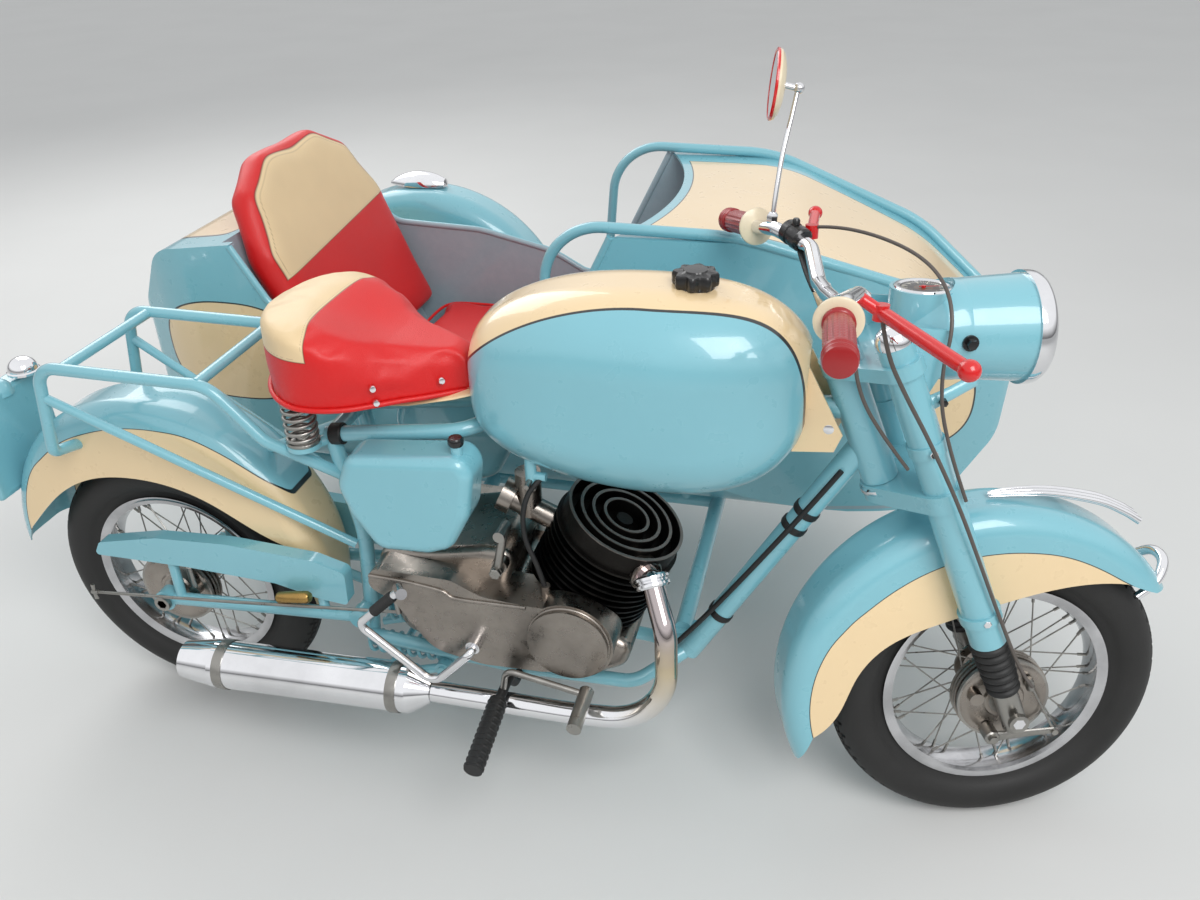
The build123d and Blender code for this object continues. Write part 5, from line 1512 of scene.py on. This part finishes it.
# %% Front guard trim
STRIP = (
    (0.672, 0, 0.5880), (0.710, 0, 0.5910), (0.768, 0, 0.5890), (0.838, 0, 0.5750),
    (0.880, 0, 0.5570), (0.905, 0, 0.5420),
)
strip = steered(smooth_line(STRIP, 50))
wide = 0.017 * (0.18 + 0.82 * np.linspace(0, 1, 50) ** 0.55)
rise = np.array((0, 0, 1.0))
rails = [
    tube(strip + rise * 0.003 + offset * frame_of(lamp_axis)[0] * wide[:, None], wide * 0.30, rise, 10)
    for offset in (-0.74, 0.0, 0.74)
]
base = tube(strip, wide, rise, 14, flat=0.30)
add_piece("guard_strip", merged(base, *rails), chrome, "steering")
BUMPER = (
    (0.905, -0.046, 0.430), (0.934, -0.040, 0.452), (0.951, -0.022, 0.472), (0.955, 0.0, 0.478),
    (0.951, 0.022, 0.472), (0.934, 0.040, 0.452), (0.905, 0.046, 0.430),
)
thick = 0.0085 * np.sin(np.linspace(0.5, 2.64, 48)) ** 0.5
bumper = tube(steered(smooth_line(BUMPER, 48)), thick, rise, 12)
add_piece("guard_bumper", bumper, chrome, "steering")

CAP = [
    (0.0, 0.0), (0.0245, 0.0), (0.0250, 0.004), (0.0235, 0.012), (0.0185, 0.020), (0.0100, 0.0250),
    (0.0, 0.0265),
]
caps = pair(lambda side: lathe(CAP, steered(fork_point(0.060, side * LEG_HALF, 0.645)), STEER_UP, 40))
add_piece("fork_caps", caps, chrome, "steering")

# %% [markdown]
# Screws and nuts are short round or six-sided lathes, set down in rows. The left
# cover has the screws; the right one is smooth, with a raised bead.

# %% Screws and nuts


def hexagon(centre, way, radius, height):
    """A nut: a six-sided lathe with a chamfered top."""
    profile = [(0, 0), (radius, 0), (radius, height * 0.85), (radius * 0.86, height), (0, height)]
    return lathe(profile, centre, way, 6)


def screw(centre, way, radius, height):
    """A round head, with a thin bar across it for its slot."""
    across, over, axis = frame_of(way)
    head = lathe(capped(radius, 0, height, height * 0.3, radius * 0.2), centre, way, 18)
    ends = np.array([centre - across * radius * 0.82, centre + across * radius * 0.82])
    return merged(head, tube(ends + axis * height * 0.92, 0.0006, axis, 6))


LEFT = (0, 1, 0)
COVER_X, COVER_Z = 0.060, 0.343
CASE_SCREWS = (
    # x, z on the left cover
    (-0.262, 0.424), (-0.225, 0.385), (-0.140, 0.423), (-0.070, 0.394), (-0.160, 0.292),
    (-0.080, 0.279), (-0.005, 0.392),
)
BOSS = [(0, 0), (0.030, 0), (0.031, 0.002), (0.028, 0.0035), (0.0, 0.0042)]
RIDGE = (
    (-0.272, -0.1405, 0.423), (-0.210, -0.1405, 0.420), (-0.150, -0.1405, 0.412),
    (-0.126, -0.1405, 0.400), (-0.060, -0.1405, 0.400), (-0.008, -0.1405, 0.401),
)


def round_cover(radius, y, angles):
    """Points on a circle about the engine cover's middle."""
    a = np.asarray(angles)
    return rig(np.stack([COVER_X + radius * np.cos(a), y + 0 * a, COVER_Z + radius * np.sin(a)], axis=1))


case_screws = [screw(rig((x, 0.1398, z)), LEFT, 0.0052, 0.0035) for x, z in CASE_SCREWS]
five = np.radians((30, 102, 174, 246, 318))
case_screws += [screw(place, LEFT, 0.0042, 0.003) for place in round_cover(0.056, 0.1498, five)]
add_piece("case_screws", merged(*case_screws), steel, "body")
around = np.linspace(0, 2 * math.pi, 72, endpoint=False)
bosses = merged(
    lathe(BOSS, rig((COVER_X, 0.150, COVER_Z)), LEFT, 48),
    tube(rig(smooth_line(RIDGE, 60)), 0.0034, LEFT, 10),
    tube(round_cover(0.0660, -0.1400, around), 0.0030, LEFT, 10, loop=True),
)
add_piece("cover_bosses", bosses, cast_alloy, "body")
gusset_screws = pair(lambda side: screw(rig((0.428, side * 0.0285, 0.712)), (0, side, 0), 0.0085, 0.004))
add_piece("gusset_screws", gusset_screws, chrome, "body")


def axle_nuts(hub, axis, reach):
    """A nut at each end of an axle, reach from its middle."""
    return pair(lambda side: hexagon(hub + side * reach * axis, side * axis, 0.011, 0.009))


def clamp_bolts(side):
    """The two bolts that clamp one fork leg."""
    places = [steered(fork_point(0.060, side * 0.116, up)) for up in (0.194, 0.487)]
    return merged(*[hexagon(place, steered_way((0, side, 0)), 0.006, 0.005) for place in places])


add_piece("front_axle_nuts", axle_nuts(FRONT_HUB, FRONT_AXIS, 0.113), chrome, "steering")
add_piece("rear_axle_nuts", axle_nuts(REAR_HUB, ACROSS, 0.099), chrome, "body")
add_piece("fork_clamp_bolts", pair(clamp_bolts), chrome, "steering")

# %% [markdown]
# The rear brake is worked by a long rod with a wing nut at its end. A knob closes each
# tool box, black straps hold the loom, and the footrests have ribbed rubbers.

# %% Rods, knobs and straps
BRAKE_ROD = (
    (-0.835, -0.128, 0.286), (-0.600, -0.130, 0.308), (-0.380, -0.130, 0.330), (-0.233, -0.130, 0.345),
)
WING = ((-0.838, -0.128, 0.270), (-0.840, -0.128, 0.286), (-0.838, -0.128, 0.302))
LINK = ((-0.233, -0.132, 0.345), (-0.236, -0.130, 0.372), (-0.250, -0.108, 0.388))
brake_rod = merged(
    tube(rig(smooth_line(BRAKE_ROD, 60)), 0.0028, (0, 0, 1), 8),
    tube(rig(WING), (0.0045, 0.003, 0.0045), (0, 1, 0), 10, flat=0.5),
    lathe(plug(0.004, 0, 0.014), rig((-0.830, -0.128, 0.2865)), (-1, 0, -0.09), 6),
    tube(rig(LINK), 0.005, (1, 0, 0), 10),
)
add_piece("rear_brake_rod", brake_rod, steel, "body")
KNOB = [(0, 0), (0.011, 0), (0.0122, 0.003), (0.0122, 0.010), (0.010, 0.013), (0, 0.0138)]
knobs = pair(lambda side: lathe(KNOB, rig((-0.104, side * 0.120, 0.6755)), (0, 0, 1), 12))
add_piece("tool_box_knobs", knobs, black_plastic, "body")
foot = np.array((0.231, 0, 0.240))
along = np.array((0.475, 0, 0.672)) - foot
along /= np.linalg.norm(along)
STRAP = [(0.0193, 0.0), (0.0205, 0.0), (0.0212, 0.002), (0.0212, 0.010), (0.0205, 0.012), (0.0193, 0.012)]
straps = [lathe(STRAP, rig(foot + along * reach), along, 40, True) for reach in (0.318, 0.352, 0.100)]
add_piece("loom_straps", merged(*straps), black_rubber, "body")


def foot_rubber(side):
    """radius(a, h): a sleeve with square ribs, deeper above and below."""
    start, end = rig((-0.050, side * 0.190, 0.2375)), rig((-0.048, side * 0.318, 0.218))
    h = np.linspace(0, np.linalg.norm(end - start), 70)
    a = np.linspace(0, 2 * math.pi, 32, endpoint=False)
    depth = 0.4 + 0.6 * (np.cos(4 * a) > -0.2)
    ribs = 0.0148 + 0.0016 * np.sign(np.sin(2 * math.pi * h / 0.011))[:, None] * depth
    return lathe(closed(ribs, h), start, end - start, 32)


add_piece("footrest_rubbers", pair(foot_rubber), black_rubber, "body")

# %% [markdown]
# The silencer's two clamps, the finned nut and the collar at the exhaust port and the
# petrol tap under the tank are turned parts again.

# %% Exhaust fittings
front, rear = np.array((-0.175, -0.165, 0.214)), np.array((-0.640, -0.176, 0.206))
way = (rear - front) / np.linalg.norm(rear - front)
BAND = [(0.0, 0.0), (0.0435, 0.0), (0.0440, 0.002), (0.0440, 0.016), (0.0435, 0.018), (0.0, 0.018)]
bands = merged(*[lathe(BAND, rig(front + way * reach), way, 56) for reach in (0.052, 0.372)])
add_piece("silencer_bands", bands, steel, "body")
port_way = np.array((0.064, -0.072, -0.006))
fins = [(0.0, 0.0)]
for low in (0.0, 0.006, 0.012, 0.018):
    fins += [(0.0215, low), (0.0275, low + 0.0005), (0.0275, low + 0.0030), (0.0215, low + 0.0036)]
fin_nut = lathe(fins + [(0.0, 0.0222)], rig((0.160, -0.0622, 0.4485)), port_way, 36)
add_piece("exhaust_port_nut", fin_nut, cast_alloy, "body")
tap = merged(
    lathe(capped(0.0085, 0, 0.026, 0.004, 0.0025), rig((-0.008, -0.070, 0.612)), (0, 0, -1), 20),
    tube(rig([(-0.008, -0.070, 0.598), (-0.008, -0.096, 0.598)]), (0.005, 0.004), (0, 0, 1), 10),
    hexagon(rig((-0.008, -0.070, 0.588)), (0, 0, -1), 0.008, 0.010),
)
add_piece("petrol_tap", tap, steel, "body")
COLLAR = [
    (0.0, 0.0), (0.0260, 0.0), (0.0290, 0.003), (0.0290, 0.007), (0.0262, 0.0095), (0.0262, 0.0115),
    (0.0290, 0.014), (0.0290, 0.018), (0.0260, 0.021), (0.0, 0.021),
]
port = lathe(COLLAR, rig((0.180, -0.082, 0.452)), (0.030, -0.045, -0.060), 48)
add_piece("exhaust_collar", port, chrome, "body")

# %% [markdown]
# The filler cap is a lathe whose radius swings eight times round, so that a hand can
# grip it. Last come the lamp over the number plate, the rubber on the seat rail, the
# brass sleeve over the silencer, and the pedal's rubber and the kick lever's nut.

# %% Cap, plate lamp and last fittings
wave = np.cos(8 * np.linspace(0, 2 * math.pi, 96, endpoint=False))
CAP_ROWS = (
    # radius, height, how much the grip's wave shows
    (0.0, 0.895, 0.0), (0.0270, 0.895, 0.0), (0.0270, 0.903, 0.0), (0.0290, 0.905, 1.0),
    (0.0300, 0.908, 1.0), (0.0300, 0.920, 1.0), (0.0280, 0.9235, 0.9), (0.0180, 0.9250, 0.2),
    (0.0165, 0.9270, 0.0), (0.0, 0.9275, 0.0),
)
cap_rows = [(r + 0.0035 * depth * wave, h) for r, h, depth in CAP_ROWS]
cap_shape = lathe(cap_rows, rig((0.228, 0, 0)), (0, 0, 1), 96)
add_piece("filler_lid", cap_shape, black_plastic, "body", ("filler_cap",))
SLEEVE = [(0.0, 0.0), (0.0160, 0.0), (0.0178, 0.002), (0.0178, 0.020), (0.0160, 0.022), (0.0, 0.022)]
sleeve = lathe(SLEEVE, rig((-0.322, -0.055, 0.634)), (-0.227, 0, -0.030), 36)
add_piece("rail_rubber", sleeve, black_rubber, "body")
t = np.linspace(0, math.pi / 2, 12)
dome = [(0.0, 0.0), (0.0285, 0.0), (0.0285, 0.004)] + list(zip(0.0260 * np.cos(t), 0.006 + 0.023 * np.sin(t)))
plate_lamp = lathe(dome, rig((-1.008, 0.045, 0.630)), (0, 0, 1), 40)
add_piece("plate_lamp_dome", plate_lamp, chrome, "body")
brass = metal("brass", (0.74, 0.60, 0.36), 0.30, 0.06, 80, 0.1, 0.85)
BRASS = [(0.0, 0.0), (0.0085, 0.0), (0.0110, 0.004), (0.0110, 0.058), (0.0080, 0.063), (0.0, 0.066)]
brass_sleeve = lathe(BRASS, rig((-0.465, -0.120, 0.329)), (0.068, 0, 0.012), 30)
add_piece("brass_sleeve", brass_sleeve, brass, "body")
h = np.linspace(0.0, 0.055, 60)
knurl = 0.0088 + 0.0006 * np.cos(2 * math.pi * h / 0.0035)
toe = lathe(closed(knurl, h), rig((-0.2500, -0.1806, 0.385)), (0.053, -0.0033, 0.054), 24)
add_piece("pedal_rubber", toe, black_rubber, "body")
add_piece("kick_nut", hexagon(rig((-0.060, -0.120, 0.448)), (0, -1, 0), 0.010, 0.008), steel, "body")

# %% [markdown]
# The floor is one broad matt sheet. It is staged, so it stays out of the part.

# %% Floor
floor_mesh = bpy.data.meshes.new("floor")
corners = np.array([(-30, -30, 0), (30, -30, 0), (30, 30, 0), (-30, 30, 0)], float)
floor_mesh.from_pydata(corners.tolist(), [], [(0, 1, 2, 3)])
floor = bpy.data.objects.new("floor", floor_mesh)
scene.collection.objects.link(floor)
matt = Finish("floor", (0.86, 0.86, 0.85), 0.8)
matt.colour(matt.blend(matt.noise(1.5), linear((0.85, 0.85, 0.84)), linear((0.88, 0.88, 0.87))))
floor_mesh.materials.append(matt.material)
floor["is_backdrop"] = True

# %% Sizes, and the end
seen = [list(corner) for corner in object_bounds()]
